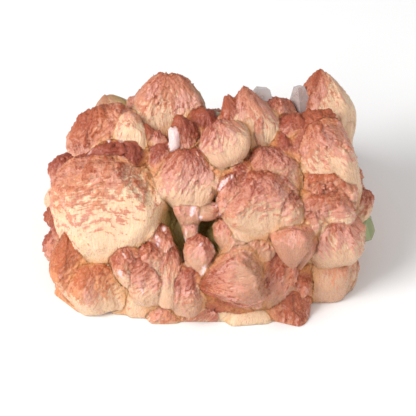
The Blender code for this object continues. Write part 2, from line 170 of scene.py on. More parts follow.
FACE_SHEAVES = [
    # The crest of the face, from left to right.
    Sheaf("back_left_slab", (-27.4, 21), (-30.6, 32.4), 9, -9, 7, 4, 0.9, 0.5, 0.1, 1.1),
    Sheaf("dome_neighbour", (-19.8, 21), (-21.6, 31.2), 12, -8, 3.6, 4),
    Sheaf("crown_dome", (-12, 14), (-11.4, 38.3), 18, -1.5, 11.2, 8.5, 0.75, 0.5, 0.06, 1.5),
    Sheaf("saddle", (-0.6, 15), (-1.2, 27.3), 12, -5.5, 5, 5),
    Sheaf("top_wedge", (13.8, 11.4), (10.9, 34.4), 19, 2, 8.4, 7.5, 0.35, 0.5, 0.04, 1.1),
    Sheaf("top_wedge_left", (10, 13), (5.6, 31.6), 19, 0.5, 4, 5.5, 0.6, 0.5, 0.1, 1.2),
    Sheaf("top_wedge_side", (17, 12), (15.6, 29), 18, 0, 3, 5.5, 0.4),
    Sheaf("back_right_slab", (19.8, 15), (20.7, 30.6), 13, -4, 6, 5, 0.8, 0.7, 0.7, 1.6, 3),
    Sheaf("top_right_peak", (35.2, 16), (33.4, 39.3), 17, 3, 10, 8, 0.8, 0.42, 0.04, 1.15),
    Sheaf("right_wall", (39.2, 8), (40.2, 29), 4, -2.2, 3.6, 7, 0.9, 0.7, 0.5, 2),
    # The left half: the great fan with its ledges, and what stands round it.
    Sheaf("upper_left_sheaf", (-28, 9), (-32.1, 27.8), 21, 1, 11, 7.5, 0.8, 0.5, 0.4, 1.6, 3),
    Sheaf("upper_left_side", (-22.5, 9), (-23.2, 26), 17, 1, 4.4, 6, 0.8, 0.6, 0.3, 1.6, 3),
    Sheaf("fan_back_ledge", (-26, 3), (-26.8, 17.2), 24, 1.5, 9.5, 5, 0.8, 0.6, 0.5, 2, 3.5),
    Sheaf("fan_upper_ledge", (-30, 0), (-32.2, 13.6), 25, 2, 11.5, 6, 0.8, 0.6, 0.6, 1.8, 3),
    Sheaf("great_fan", (-30, -17.5), (-30.8, 12.9), 17, 4, 16.4, 11.3, 0.45, 0.5, 0.5, 2, 2.4),
    Sheaf("left_step", (-40.4, 5), (-45.2, 12.8), 15, -5.4, 4.6, 5),
    Sheaf("left_pale_tip", (-42.4, -0.9), (-48.4, 1.8), 12, -5, 4, 4),
    Sheaf("left_scale_upper", (-41.2, -6.6), (-47, -1.8), 15, -5, 4.6, 4.5),
    Sheaf("left_scale_middle", (-39.4, -12.6), (-45.3, -4.2), 18, -2, 4.4, 4.5),
    Sheaf("left_scale_lower", (-41.4, -17.4), (-47.3, -9.6), 13, -5, 5, 5),
    Sheaf("low_left_peak", (-34.8, -28), (-41.2, -9.4), 38, 6.5, 9.4, 6.5, 0.7, 0.55, 0.05, 1.2),
    Sheaf("low_left_ledge", (-30.2, -31), (-34.2, -18), 42, 2, 10, 5.5, 0.8, 0.6, 0.4, 1.8),
    Sheaf("low_left_fan", (-31, -40), (-35, -21.8), 50, -4.5, 13, 7.5, 0.75, 0.55, 0.5, 1.8, 2.8),
    Sheaf("low_left_wedge", (-22.8, -39.5), (-25, -21.8), 48, -4.5, 7.5, 6, 0.75, 0.6, 0.4, 1.6),
    Sheaf("pink_step_left", (-21.6, -24), (-25.2, -14.1), 36, 3, 5, 4, 0.7, 0.6, 0.5, 1.5),
    Sheaf("pink_step_middle", (-17.4, -30), (-19.5, -16.8), 38, 2, 5.5, 4.5, 0.7, 0.6, 0.5, 1.5),
    Sheaf("pink_step_top", (-16.2, -21.6), (-17.4, -12.9), 33, 1, 4, 4, 0.7, 0.6, 0.4, 1.5, 3),
    Sheaf("front_pillar", (-16.5, -41.5), (-17.1, -22), 46, -4.5, 7.5, 6.5, 0.8, 0.6, 0.3, 1.6),
    Sheaf("crevice_wall_left", (-14.4, -27), (-13.5, -7.2), 15, -3, 3.6, 5, 0.8, 0.7, 0.2, 1.4),
    Sheaf("crevice_wall_right", (-12, -31.5), (-11.4, -12), 17, -3, 3, 5, 0.8, 0.7, 0.2, 1.5),
    # The middle: small sheaves under the crest, the cavity and its rim.
    Sheaf("red_prism", (-18.3, 10.5), (-18.3, 23.1), 15, -1.5, 2.2, 2.6),
    Sheaf("small_under_dome", (-14.4, 10.5), (-14.7, 21), 18, -2.5, 3.6, 3, point=1.3),
    Sheaf("bright_plate", (-9.6, 14.4), (-11.1, 22.5), 9, 0, 1.6, 1),
    Sheaf("small_red_block", (-6, 13.5), (-7.8, 25.5), 19, -1, 3.8, 3.5, point=1.3),
    Sheaf("small_left_of_fan", (-13.5, 5.4), (-14.1, 17.1), 21, -2, 4.8, 4, point=1.3),
    Sheaf("cap_sheaf", (7.2, 11.4), (2.2, 23.2), 22, 3, 7.6, 6, 0.6, 0.5, 0.25, 1.5),
    Sheaf("middle_fan", (-5.4, -1.5), (-6, 15), 23, 0, 8.8, 7, 0.6, 0.5, 0.2, 1.5),
    Sheaf("cavity_knob", (-5.7, -8.4), (-5.7, 2.4), 18, -4, 4.5, 4, 0.5),
    Sheaf("cavity_arch", (-2.8, -4.6), (4.4, -1.8), 8, -4, 2.6, 3, 0.6, 0.5, 0.5, 2, 2.2),
    Sheaf("cavity_post", (-5.1, -13.5), (-5.9, -2.8), 12, -5, 2.6, 3, 0.6),
    Sheaf("cavity_lip", (-3.8, -20.6), (-1.6, -10), 18, -3, 4.6, 4.5, 0.6, point=1.5),
    Sheaf("cavity_right_side", (8.4, -15.4), (4.6, -5.1), 18, -4, 4.5, 4.5, 0.6),
    Sheaf("cavity_floor", (-9, -18.6), (-9, -4.5), 12, -12, 4, 4),
    Sheaf("striped_block", (-6.6, -33.6), (-5.8, -18.1), 28, -2, 4.8, 5),
    # The right half.
    Sheaf("red_knob", (24, 6.6), (21.6, 20.1), 20, -1, 5, 5, point=1.3),
    Sheaf("pink_band", (25.6, 15), (27, 25.2), 16, 0, 6.5, 5, 0.8, 0.6, 0.5, 1.6, 3),
    Sheaf("right_fan", (39.2, 1.2), (30, 22.4), 20, 3, 8.6, 8, 0.75, 0.5, 0.7, 2, 3.4),
    Sheaf("right_fan_top", (32.2, 9), (29.6, 26.2), 15, 1.6, 9, 7, 0.8, 0.5, 0.6, 1.6, 3),
    Sheaf("right_ledge", (36.2, -5), (34.8, 8.8), 28, 2, 8.4, 6, 0.8, 0.6, 0.6, 2, 3),
    Sheaf("middle_right_fan", (19.8, -2), (16, 16.6), 20, 0, 10, 6.5, 0.65, 0.5, 0.03, 1.15),
    Sheaf("middle_right_band", (11.6, -1.5), (8.1, 10.7), 21, -1, 6.4, 4.5, 0.8, 0.6, 0.4, 1.6, 3),
    Sheaf("centre_sheaf", (17.1, -10.2), (13.2, 8), 26, 2, 11.2, 8.5, 0.5, 0.5, 0.3, 1.6),
    Sheaf("centre_sheaf_left", (9.6, -7), (6.6, 7.8), 20, 0.5, 5, 5.5, 0.6, 0.5, 0.2, 1.5),
    Sheaf("centre_sheaf_right", (23.4, -9.5), (20.6, 4.4), 18, 1, 5.5, 6, 0.6, 0.5, 0.2, 1.5),
    Sheaf("under_centre", (14.4, -21), (13.6, -8.4), 26, -3, 7, 4, 0.8, 0.6, 0.5, 2),
    Sheaf("short_wedge", (29.4, -11), (29.1, -0.6), 18, 1, 4.6, 4.5, 0.5, 0.5, 0.1, 1.3),
    Sheaf("right_band", (34.8, -9.6), (33.5, 3), 30, 2, 9.4, 6.5, 0.75, 0.6, 0.7, 2, 3),
    Sheaf("right_edge_sheaf", (43.6, -6.6), (46, 3.6), 15, -3.6, 4.6, 5.5),
    Sheaf("right_upper_edge", (42, -2.4), (42.3, 9.6), 9, -4, 3.6, 6),
    Sheaf("low_right_sheaf", (38, -18), (36.8, -3.6), 30, 1.5, 9.2, 7.5, 0.6, 0.5, 0.4, 1.6),
    Sheaf("kite", (24.9, -20.7), (24.6, -7.6), 12, 3.2, 6.4, 4, 0.04, 0.86, 0.7, 2, 3.4),
    Sheaf("kite_side", (27, -21), (30.6, -9.6), 14, 1, 2.5, 4, 0.1, 0.8, 0.4, 1.6),
    Sheaf("low_right_fan", (35.2, -34), (34.2, -13.6), 40, -3.5, 7.8, 5.5, 0.4, 0.7, 0.4, 1.8),
    Sheaf("low_right_blade", (39.4, -31), (40.2, -14.8), 40, -4.5, 4.8, 5, 0.4, 0.7, 0.4, 1.8),
    Sheaf("right_corner", (41, -27), (42.2, -16), 40, -5, 3.2, 4),
    # The foot of the face, from left to right.
    Sheaf("front_wedge", (-2.2, -25.4), (15.6, -21.8), 9, 1.5, 7.8, 7.5, 0.15, 0.85, 0.8, 2.4, 3),
    Sheaf("front_wedge_ledge", (1.2, -28.8), (16.2, -29.7), 6, -2, 2.5, 4, 0.4, 0.8, 0.6, 2),
    Sheaf("behind_front_wedge", (19.8, -31), (19.8, -12.2), 28, -3, 6.6, 5),
    Sheaf("beside_bottom_fan", (25.2, -33.4), (26.1, -18.6), 30, -5, 5, 5),
    Sheaf("bottom_left_block", (-13.5, -43), (-12.8, -29), 50, -5, 5.5, 6),
    Sheaf("bottom_sheaf", (-4.4, -43), (-2.9, -27.1), 50, -6.5, 6.8, 7, point=1.5),
    Sheaf("bottom_rock", (12, -44), (12.6, -31), 40, -8, 10, 7.5, 0.9, 0.7, 0.6, 2),
    Sheaf("bottom_red_block", (10.5, -38.5), (9.9, -29), 45, -6.5, 5, 4),
    Sheaf("bottom_fan", (20.6, -44), (23.6, -25.2), 48, -3.4, 8.2, 8, 0.8, 0.6, 0.4, 1.6),
]


BACK_SHEAVES = [
    Sheaf("back_crest_1", (-34, 2), (-31, 14), 22, -3, 9.5, 7, point=1.5),
    Sheaf("back_crest_2", (-14, 2), (-16, 16), 24, -3, 10.5, 8, peak=0.3),
    Sheaf("back_crest_3", (2, 0), (0, 13), 26, -2, 9, 8, roll=20),
    Sheaf("back_crest_4", (16, 2), (17, 18), 20, -4, 10.5, 8, ridge=0.2, point=1.4),
    Sheaf("back_crest_5", (32, 0), (34, 13), 24, -3, 10, 8, peak=-0.3),
    Sheaf("back_upper_1", (-33, -12), (-34, 3), 24, -2, 8.5, 7.5, roll=-15),
    Sheaf("back_upper_2", (-22, -12), (-25, 5), 25, 0, 12, 9, peak=0.2),
    Sheaf("back_upper_3", (-8, -12), (-8, 3), 30, 0, 8, 7, ridge=0.2, point=1.4),
    Sheaf("back_upper_4", (12, -16), (9, 4), 27, 1, 12.5, 10, peak=-0.3, roll=10),
    Sheaf("back_upper_5", (26, -14), (27, 0), 28, 0, 8, 8, roll=-20),
    Sheaf("back_upper_6", (33, -16), (34.5, 1), 24, -2, 8.5, 8),
    Sheaf("back_low_1", (-33, -30), (-37, -9), 20, -1, 10, 8, ridge=0.3),
    Sheaf("back_low_2", (-20, -32), (-22, -11), 24, 0, 10, 9, roll=12),
    Sheaf("back_low_3", (-4, -32), (-5, -8), 24, 1, 12, 10, peak=0.3, point=1.4),
    Sheaf("back_low_4", (12, -34), (13, -14), 22, 0, 9, 8, roll=-10),
    Sheaf("back_low_5", (26, -32), (25, -9), 24, 0, 11, 9, ridge=0.3, point=1.4),
    Sheaf("back_low_6", (36, -30), (39, -13), 20, -1, 8, 8),
]

LEFT_SHEAVES = [
    Sheaf("left_high", (-14, 0), (-13, 13), 22, -7, 8, 7, roll=15),
    Sheaf("left_upper", (3, -2), (2, 10), 26, -6, 8, 7, ridge=0.3, point=1.4),
    Sheaf("left_middle", (-8, -14), (-7, 2), 26, 0, 8.5, 8),
    Sheaf("left_front", (10, -12), (11, 0), 26, -1, 7, 7, roll=-15),
    Sheaf("left_low_back", (-17, -30), (-17, -7), 18, 0, 9, 8, peak=0.3),
    Sheaf("left_low_middle", (-1, -32), (0, -9), 22, 1, 9.5, 8),
    Sheaf("left_low_front", (13, -28), (14, -11), 20, -1, 7, 7),
]

RIGHT_SHEAVES = [
    Sheaf("right_high", (12, 2), (13, 16), 22, -4, 8.5, 7),
    Sheaf("right_upper", (-4, 0), (-4, 12), 24, -4, 8, 7, ridge=0.3, point=1.4),
    Sheaf("right_middle", (6, -12), (5, 4), 26, -1, 9, 8, roll=12),
    Sheaf("right_low_back", (15, -30), (16, -5), 18, 1, 9.5, 8, peak=-0.3),
    Sheaf("right_low_middle", (-1, -32), (-2, -8), 24, -1, 9, 8),
    Sheaf("right_low_front", (-14, -28), (-14, -10), 22, -3, 7, 7, roll=-12),
]

FACES = [
    (SHOW_FACE, FACE_SHEAVES),
    (BACK_FACE, BACK_SHEAVES),
    (LEFT_FACE, LEFT_SHEAVES),
    (RIGHT_FACE, RIGHT_SHEAVES),
]


class Grain(NamedTuple):
    """How a sheaf is marked. slant is the angle from its growth at which its plates' edges run, in
    degrees to the right, plate their spacing in millimetres and step how far they stand out. blush
    is the red share of its length, from the crown down, or from the foot up where it is negative.
    warm is how orange that red is and tan how dark the rest is, both from 0 to 1. splays is how
    many narrower parts it fans out into, aside how much redder it is to its right, and the last is
    the share of its narrow crystals that carry a painted glint, a pinkish-white painted highlight."""

    slant: float = 40.0
    plate: float = 1.8
    step: float = 0.45
    blush: float = 0.55
    warm: float = 0.2
    tan: float = 0.4
    splays: int = 0
    aside: float = 0.0
    pearl: float = 0.0


GRAINS = {
    # back_left_slab and dome_neighbour sit behind the crest: their full tan and little red darken them as
    # painted shade.
    "back_left_slab": Grain(0, 3.0, 0.12, 0.15, 0.0, 1.0),
    "dome_neighbour": Grain(0, 3.0, 0.15, 0.2, 0.0, 0.8),
    "crown_dome": Grain(15, 2.0, 0.55, 0.42, 0.35, 0.3, pearl=0.06),
    "saddle": Grain(30, 2.0, 0.4, 1.0, 0.1, 0.6),
    "top_wedge": Grain(0, 2.0, 0.35, 0.42, 0.2, 0.35),
    "top_wedge_left": Grain(10, 2.0, 0.35, 0.7, 0.3, 0.5),
    "top_wedge_side": Grain(0, 2.0, 0.35, 0.5, 0.2, 0.5),
    "back_right_slab": Grain(35, 1.6, 0.35, 0.5, 0.1, 0.8),
    "top_right_peak": Grain(-20, 2.0, 0.5, 0.5, 0.4, 0.2, 0, -0.4),
    "right_wall": Grain(0, 3.0, 0.2, -0.1, 0.3, 0.0),
    "upper_left_sheaf": Grain(58, 1.9, 0.7, 0.6, 0.4, 0.25, 2, -0.25),
    "fan_back_ledge": Grain(80, 1.6, 0.6, 1.1, 0.0, 0.5, pearl=0.15),
    "fan_upper_ledge": Grain(80, 1.8, 0.8, 0.9, 0.1, 0.4, 3, pearl=0.12),
    "upper_left_side": Grain(20, 2.0, 0.3, 0.1, 0.4, 0.1),
    "low_left_ledge": Grain(60, 1.6, 0.5, 0.6, 0.9, 0.1),
    "great_fan": Grain(86, 3.4, 1.0, 0.36, 0.4, 0.0, 0, -0.18),
    "left_step": Grain(60, 1.6, 0.4, 0.7, 0.1, 0.5),
    "left_pale_tip": Grain(60, 1.6, 0.3, -0.1, 0.1, 0.3),
    "left_scale_upper": Grain(75, 1.8, 0.5, 0.8, 0.2, 0.5),
    "left_scale_middle": Grain(75, 1.8, 0.5, 0.8, 0.2, 0.5),
    "left_scale_lower": Grain(75, 1.8, 0.5, 0.6, 0.2, 0.5),
    "low_left_peak": Grain(60, 1.5, 0.6, 0.8, 0.9, 0.1),
    "low_left_fan": Grain(12, 1.9, 0.6, 0.42, 0.9, 0.0, 3),
    "low_left_wedge": Grain(75, 2.2, 0.35, 0.25, 0.6, 0.15),
    "pink_step_left": Grain(60, 1.8, 0.45, 0.55, 0.3, 0.4, pearl=0.12),
    "pink_step_middle": Grain(60, 1.8, 0.45, 0.55, 0.3, 0.4, pearl=0.1),
    "pink_step_top": Grain(60, 1.8, 0.45, 0.55, 0.3, 0.4),
    "front_pillar": Grain(30, 2.2, 0.4, 0.22, 0.4, 0.15),
    "crevice_wall_left": Grain(10, 1.5, 0.35, 0.5, 0.2, 0.45, pearl=0.12),
    "crevice_wall_right": Grain(10, 1.5, 0.35, 0.5, 0.2, 0.45),
    "red_prism": Grain(0, 1.4, 0.2, 0.8, 0.2, 0.5),
    "small_under_dome": Grain(20, 1.6, 0.35, 0.5, 0.2, 0.6),
    "bright_plate": Grain(0, 1.6, 0.1, -0.1, 0.0, 0.0, pearl=1.0),
    "small_red_block": Grain(0, 1.6, 0.35, 0.9, 0.1, 0.6),
    "small_left_of_fan": Grain(40, 1.6, 0.4, 0.8, 0.1, 0.6),
    "cap_sheaf": Grain(35, 1.8, 0.4, 0.36, 0.1, 0.35, aside=-0.1),
    "middle_fan": Grain(40, 1.8, 0.6, 0.5, 0.15, 0.4),
    "cavity_knob": Grain(30, 1.8, 0.4, 0.45, 0.1, 1.1, pearl=0.1),
    "cavity_arch": Grain(30, 1.8, 0.4, 0.35, 0.1, 1.1, pearl=0.15),
    "cavity_post": Grain(30, 1.8, 0.4, 0.5, 0.1, 1.1, pearl=0.15),
    "cavity_lip": Grain(30, 1.8, 0.4, 0.5, 0.1, 0.9, pearl=0.2),
    "cavity_right_side": Grain(30, 1.8, 0.4, 0.4, 0.1, 0.8),
    "cavity_floor": Grain(30, 1.8, 0.3, 0.1, 0.1, 1.0),
    "striped_block": Grain(55, 1.6, 0.5, 0.7, 0.15, 0.7),
    "red_knob": Grain(20, 1.6, 0.45, 0.9, 0.0, 0.6),
    "pink_band": Grain(60, 1.6, 0.45, 0.8, 0.15, 0.5),
    "right_fan": Grain(-28, 1.5, 0.55, 0.42, 0.35, 0.25),
    "right_fan_top": Grain(-60, 1.6, 0.5, 1.0, 0.2, 0.4),
    "right_ledge": Grain(72, 1.8, 0.6, 0.5, 0.4, 0.2, 3),
    "middle_right_fan": Grain(60, 1.8, 0.45, 0.5, 0.1, 0.7),
    "middle_right_band": Grain(70, 1.8, 0.45, 0.6, 0.1, 0.5),
    "centre_sheaf": Grain(80, 2.4, 0.7, 0.46, 0.2, 0.5),
    "centre_sheaf_left": Grain(60, 1.8, 0.5, 0.6, 0.2, 0.6, pearl=0.08),
    "centre_sheaf_right": Grain(60, 1.8, 0.5, 0.5, 0.2, 0.6),
    "under_centre": Grain(60, 1.6, 0.4, 0.4, 0.2, 0.8),
    "short_wedge": Grain(75, 1.6, 0.45, 0.6, 0.3, 0.4),
    "right_band": Grain(75, 1.6, 0.6, 0.5, 0.3, 0.3, 3),
    "right_edge_sheaf": Grain(30, 1.6, 0.4, 0.5, 0.3, 0.3),
    "right_upper_edge": Grain(60, 1.8, 0.35, 0.2, 0.2, 0.1),
    "low_right_sheaf": Grain(-30, 1.6, 0.5, 0.5, 0.4, 0.4),
    "kite": Grain(0, 1.3, 0.12, 0.25, 0.3, 1.2),
    "kite_side": Grain(0, 1.3, 0.15, 0.4, 0.3, 1.2),
    "low_right_fan": Grain(0, 1.3, 0.3, 0.3, 0.4, 0.6),
    "low_right_blade": Grain(0, 1.3, 0.3, 0.25, 0.4, 0.7),
    "right_corner": Grain(0, 1.3, 0.3, 0.4, 0.4, 0.7),
    "front_wedge": Grain(5, 1.9, 0.6, -0.72, 0.25, 1.1),
    "front_wedge_ledge": Grain(5, 1.4, 0.4, -0.9, 0.3, 0.5),
    "behind_front_wedge": Grain(40, 1.6, 0.45, 0.8, 0.3, 1.0),
    "beside_bottom_fan": Grain(40, 1.6, 0.45, 0.8, 0.4, 0.8),
    "bottom_left_block": Grain(60, 1.8, 0.45, 0.4, 0.4, 0.2),
    "bottom_sheaf": Grain(40, 1.6, 0.45, 0.5, 0.2, 0.2),
    "bottom_rock": Grain(30, 3.0, 0.3, -0.1, 0.3, 0.0),
    "bottom_red_block": Grain(50, 1.6, 0.45, 0.8, 0.2, 0.4),
    "bottom_fan": Grain(0, 1.4, 0.5, 0.7, 0.5, 0.5),
}


def grain_of(sheaf):
    """A sheaf's own markings, or seeded ones for a sheaf that isn't listed. The splayed parts of a
    sheaf have its markings."""
    name = sheaf.name.split(" ")[0]
    if name in GRAINS:
        return GRAINS[name]
    dice = random.Random(name + " grain")
    slant = dice.choice((-1, 1)) * dice.uniform(20, 80)
    return Grain(slant, dice.uniform(1.6, 2.6), dice.uniform(0.4, 0.7), dice.uniform(0.3, 0.75),
                 dice.uniform(0, 0.6), dice.uniform(0, 0.6))


def splayed(sheaf):
    """The narrower parts that fan out in a broad sheaf, and make its crown uneven."""
    splays = grain_of(sheaf).splays if sheaf.half_breadth >= SPLAY_LEAST else 0
    dice = random.Random(sheaf.name + " splay")
    foot, crown = Vector(sheaf.foot), Vector(sheaf.crown)
    aside = (crown - foot).normalized().orthogonal()
    parts = []
    for index in range(splays):
        shift = ((index + 0.5) / splays * 2 - 1) * 0.52 + dice.uniform(-0.12, 0.12)
        move = aside * shift * sheaf.half_breadth
        top = crown + move + (crown - foot) * dice.uniform(-0.14, 0.03)
        parts.append(
            sheaf._replace(
                name=f"{sheaf.name} {index}",
                foot=tuple(foot + move * 0.5 * sheaf.waist),
                crown=tuple(top),
                lean=sheaf.lean + dice.uniform(-4, 5),
                proud=sheaf.proud + dice.uniform(-0.6, 0.5),
                half_breadth=sheaf.half_breadth * dice.uniform(0.36, 0.5),
                half_thickness=sheaf.half_thickness * dice.uniform(0.85, 1.02),
                ridge=dice.uniform(0.1, 0.4),
                point=dice.uniform(1.2, 1.7),
                roll=dice.uniform(-20, 20),
            )
        )
    return parts


def axis_ends(face, sheaf):
    """A sheaf's foot and crown on a face, with the third number the distance out of it."""
    crown = Vector((*sheaf.crown, face.bulge(*sheaf.crown) + sheaf.proud))
    run = (Vector(sheaf.crown) - Vector(sheaf.foot)).length
    foot = Vector((*sheaf.foot, crown.z - run * math.tan(math.radians(sheaf.lean))))
    return foot, crown


def axes(face, sheaf):
    """A sheaf's foot, its length and its own axes in the cluster: across it, through it, up it."""
    foot, crown = axis_ends(face, sheaf)
    up = (crown - foot).normalized()
    across = up.cross(Vector((0, 0, 1))).normalized()
    across = Matrix.Rotation(math.radians(sheaf.roll), 3, up) @ across
    turned = face.to_cluster().to_3x3()
    through = up.cross(across)
    frame_of = np.array([turned @ across, turned @ through, turned @ up])
    return np.array(face.to_cluster() @ foot), (crown - foot).length, frame_of


def section(sheaf, along):
    """The breadth and thickness of a sheaf's section as shares of its half sizes, and how far the
    section has moved towards the peak, at places from 0 at the foot to 1 at the crown."""
    along = np.clip(along, 0, 1)
    rise = np.sin(np.pi / 2 * np.minimum(along / sheaf.shoulder, 1))
    flank = sheaf.waist + (1 - sheaf.waist) * rise
    over = np.clip((along - sheaf.shoulder) / (1 - sheaf.shoulder), 0, 1)
    left = (1 - over**sheaf.point) ** (1 / sheaf.point)
    crown = sheaf.ridge + (1 - sheaf.ridge) * left
    below = along < sheaf.shoulder
    return np.where(below, flank, crown), np.where(below, flank, left), over**2


def signed_power(value, exponent):
    return np.sign(value) * np.abs(value) ** exponent


def flat_planes(sheaf, points):
    """Seeded planes that give a sheaf its flat faces, each as a normal and its distance out. The
    first is its broad front, and the next ones cut its crown and flanks to a wedge."""
    dice = random.Random(sheaf.name)
    near = dice.uniform
    side = dice.choice((-1, 1))
    blunt = min(1.0, 0.35 + 1.4 * sheaf.ridge)
    planes = []
    for across, through, up, cut in (
        (near(-0.25, 0.25), -1.0, near(0.0, 0.35), near(0.22, 0.32)),
        (near(-1.0, -0.5), -0.7, near(0.5, 1.1), blunt * near(0.14, 0.28)),
        (near(0.5, 1.0), -0.7, near(0.5, 1.1), blunt * near(0.14, 0.28)),
        (side * near(0.8, 1.2), -0.9, near(-0.3, 0.3), near(0.14, 0.26)),
        (near(-1.0, 1.0), near(0.2, 1.0), near(0.0, 0.9), blunt * near(0.12, 0.24)),
    ):
        normal = np.array((across, through, up))
        normal /= np.linalg.norm(normal)
        planes.append((normal, (1 - cut) * (points @ normal).max()))
    return planes


class Grown(NamedTuple):
    """A sheaf worked out in full: where it stands, its planes, and its surface."""

    sheaf: Sheaf
    foot: np.ndarray
    length: float
    frame: np.ndarray
    planes: list
    points: np.ndarray
    faces: list


def grow(face, sheaf):
    """Works out a sheaf's surface in the cluster's millimetres."""
    foot, length, frame_of = axes(face, sheaf)
    shape = bmesh.new()
    bmesh.ops.create_uvsphere(shape, u_segments=SHEAF_SEGMENTS, v_segments=SHEAF_RINGS, radius=1)
    ball = np.array([vertex.co for vertex in shape.verts])
    faces = [[vertex.index for vertex in side.verts] for side in shape.faces]
    shape.free()
    along = np.arccos(np.clip(-ball[:, 2], -1, 1)) / np.pi
    wide, deep, moved = section(sheaf, along)
    turn = np.arctan2(ball[:, 1], ball[:, 0])
    spread = np.where((along < 1e-4) | (along > 1 - 1e-4), 0.0, 1.0)
    cosine = signed_power(np.cos(turn), 2 / sheaf.square)
    sine = signed_power(np.sin(turn), 2 / sheaf.square)
    local = np.stack(
        (
            sheaf.half_breadth * (spread * wide * cosine + moved * sheaf.peak),
            sheaf.half_thickness * spread * deep * sine,
            length * (along - 0.5),
        ),
        axis=1,
    )
    planes = flat_planes(sheaf, local)
    for normal, reach in planes:
        over = np.maximum(0, local @ normal - reach)
        local = local - over[:, None] * normal
    local[:, 2] += length / 2
    return Grown(sheaf, foot, length, frame_of, planes, foot + local @ frame_of, faces)


def lattice(x, y, z, seed):
    """A repeatable random number from 0 to 1 for each cell of a lattice."""
    mixed = (x * 73856093) ^ (y * 19349663) ^ (z * 83492791) ^ (seed * 40503)
    mixed = ((mixed ^ (mixed >> 13)) * 1274126177) & 0xFFFFFFFF
    mixed = ((mixed ^ (mixed >> 15)) * 2246822519) & 0xFFFFFFFF
    return ((mixed ^ (mixed >> 16)) & 0xFFFF) / 65535.0


def noise(points, seed=0):
    """Smooth noise from -1 to 1, with one wave for each unit."""
    cell = np.floor(points).astype(np.int64)
    part = points - cell
    part = part * part * (3 - 2 * part)
    total = np.zeros(len(points))
    for i in (0, 1):
        for j in (0, 1):
            for k in (0, 1):
                weight = (
                    (part[:, 0] if i else 1 - part[:, 0])
                    * (part[:, 1] if j else 1 - part[:, 1])
                    * (part[:, 2] if k else 1 - part[:, 2])
                )
                total += weight * lattice(cell[:, 0] + i, cell[:, 1] + j, cell[:, 2] + k, seed)
    return 2 * total - 1


def layered_noise(points, seed=0, layers=3):
    total = np.zeros(len(points))
    for layer in range(layers):
        total += noise(points * 2**layer, seed + 17 * layer) * 0.55**layer
    return total


def cells(points, seed):
    """The narrow crystals that a sheaf is made of, as a field of cells with one for each unit. Gives
    each point's cell, its place from the cell's middle, and how far it is from the cell's edge."""
    base = np.floor(points).astype(np.int64)
    nearest = np.full(len(points), 1e9)
    second = np.full(len(points), 1e9)
    chosen = np.zeros((len(points), 3), dtype=np.int64)
    away = np.zeros((len(points), 3))
    for i in (-1, 0, 1):
        for j in (-1, 0, 1):
            for k in (-1, 0, 1):
                cell = base + (i, j, k)
                middle = cell + np.stack([lattice(*cell.T, seed + axis) for axis in range(3)], axis=1)
                far = ((points - middle) ** 2).sum(axis=1)
                closer = far < nearest
                second = np.where(closer, nearest, np.minimum(second, far))
                nearest = np.where(closer, far, nearest)
                chosen[closer] = cell[closer]
                away[closer] = (points - middle)[closer]
    return chosen, away, np.sqrt(second) - np.sqrt(nearest)


def smooth(low, high, value):
    part = np.clip((value - low) / (high - low), 0, 1)
    return part * part * (3 - 2 * part)


def mesh_object(name, points, faces):
    mesh = bpy.data.meshes.new(name)
    mesh.from_pydata(points, [], faces)
    made = bpy.data.objects.new(name, mesh)
    bpy.context.scene.collection.objects.link(made)
    return made


def applied(obj, name):
    """Makes a new object of what an object's modifiers give, and removes the old one."""
    seen = bpy.context.evaluated_depsgraph_get()
    mesh = bpy.data.meshes.new_from_object(obj.evaluated_get(seen))
    mesh.name = name
    bpy.data.objects.remove(obj, do_unlink=True)
    made = bpy.data.objects.new(name, mesh)
    bpy.context.scene.collection.objects.link(made)
    return made


def thinned(obj, most):
    """Thins a mesh out where it is flattest, so that it has no more triangles than a given number."""
    count = sum(len(side.vertices) - 2 for side in obj.data.polygons)
    if count <= most:
        return obj
    fewer = obj.modifiers.new("fewer", "DECIMATE")
    fewer.ratio = most / count
    return applied(obj, obj.name)


def ellipsoid(name, matrix, half):
    shape = bmesh.new()
    bmesh.ops.create_uvsphere(shape, u_segments=96, v_segments=64, radius=1)
    bmesh.ops.transform(shape, matrix=matrix @ Matrix.Diagonal((*half, 1)), verts=shape.verts)
    mesh = bpy.data.meshes.new(name)
    shape.to_mesh(mesh)
    shape.free()
    made = bpy.data.objects.new(name, mesh)
    bpy.context.scene.collection.objects.link(made)
    return made


def massive_core():
    """The massive stilbite with its cavity, as points and faces in millimetres."""
    core = ellipsoid("core", Matrix.Translation(CORE_CENTRE), CORE_HALF)
    place = SHOW_FACE.to_cluster() @ Matrix.Translation(CAVITY_ON_FACE)
    pit = ellipsoid("pit", place, CAVITY_HALF)
    cut = core.modifiers.new("cavity", "BOOLEAN")
    cut.operation = "DIFFERENCE"
    cut.object = pit
    core = applied(core, "core")
    bpy.data.objects.remove(pit, do_unlink=True)
    points = np.array([vertex.co for vertex in core.data.vertices])
    faces = [list(side.vertices) for side in core.data.polygons]
    bpy.data.objects.remove(core, do_unlink=True)
    return points, faces


def fuse(name, parts, grain, divider, in_front):
    """Fuses closed shapes, each points and faces in millimetres, to one skin of square grains, cut
    off at the ground and at a plane, of which it keeps the front or the back."""
    points, faces, start = [], [], 0
    for some_points, some_faces in parts:
        points.append(some_points)
        faces += [[index + start for index in side] for side in some_faces]
        start += len(some_points)
    joined = mesh_object(name, np.concatenate(points), faces)
    evened = joined.modifiers.new("evened", "REMESH")
    evened.mode = "VOXEL"
    evened.voxel_size = grain
    fused = applied(joined, name)
    shape = bmesh.new()
    shape.from_mesh(fused.data)
    place, out = divider
    for point, kept in (((0, 0, 0), (0, 0, 1)), (place, out if in_front else -out)):
        cut = bmesh.ops.bisect_plane(
            shape,
            geom=[*shape.verts, *shape.edges, *shape.faces],
            plane_co=point,
            plane_no=kept,
            clear_inner=True,
        )
        rim = [piece for piece in cut["geom_cut"] if isinstance(piece, bmesh.types.BMEdge)]
        bmesh.ops.edgenet_fill(shape, edges=rim)
    shape.to_mesh(fused.data)
    shape.free()
    return fused


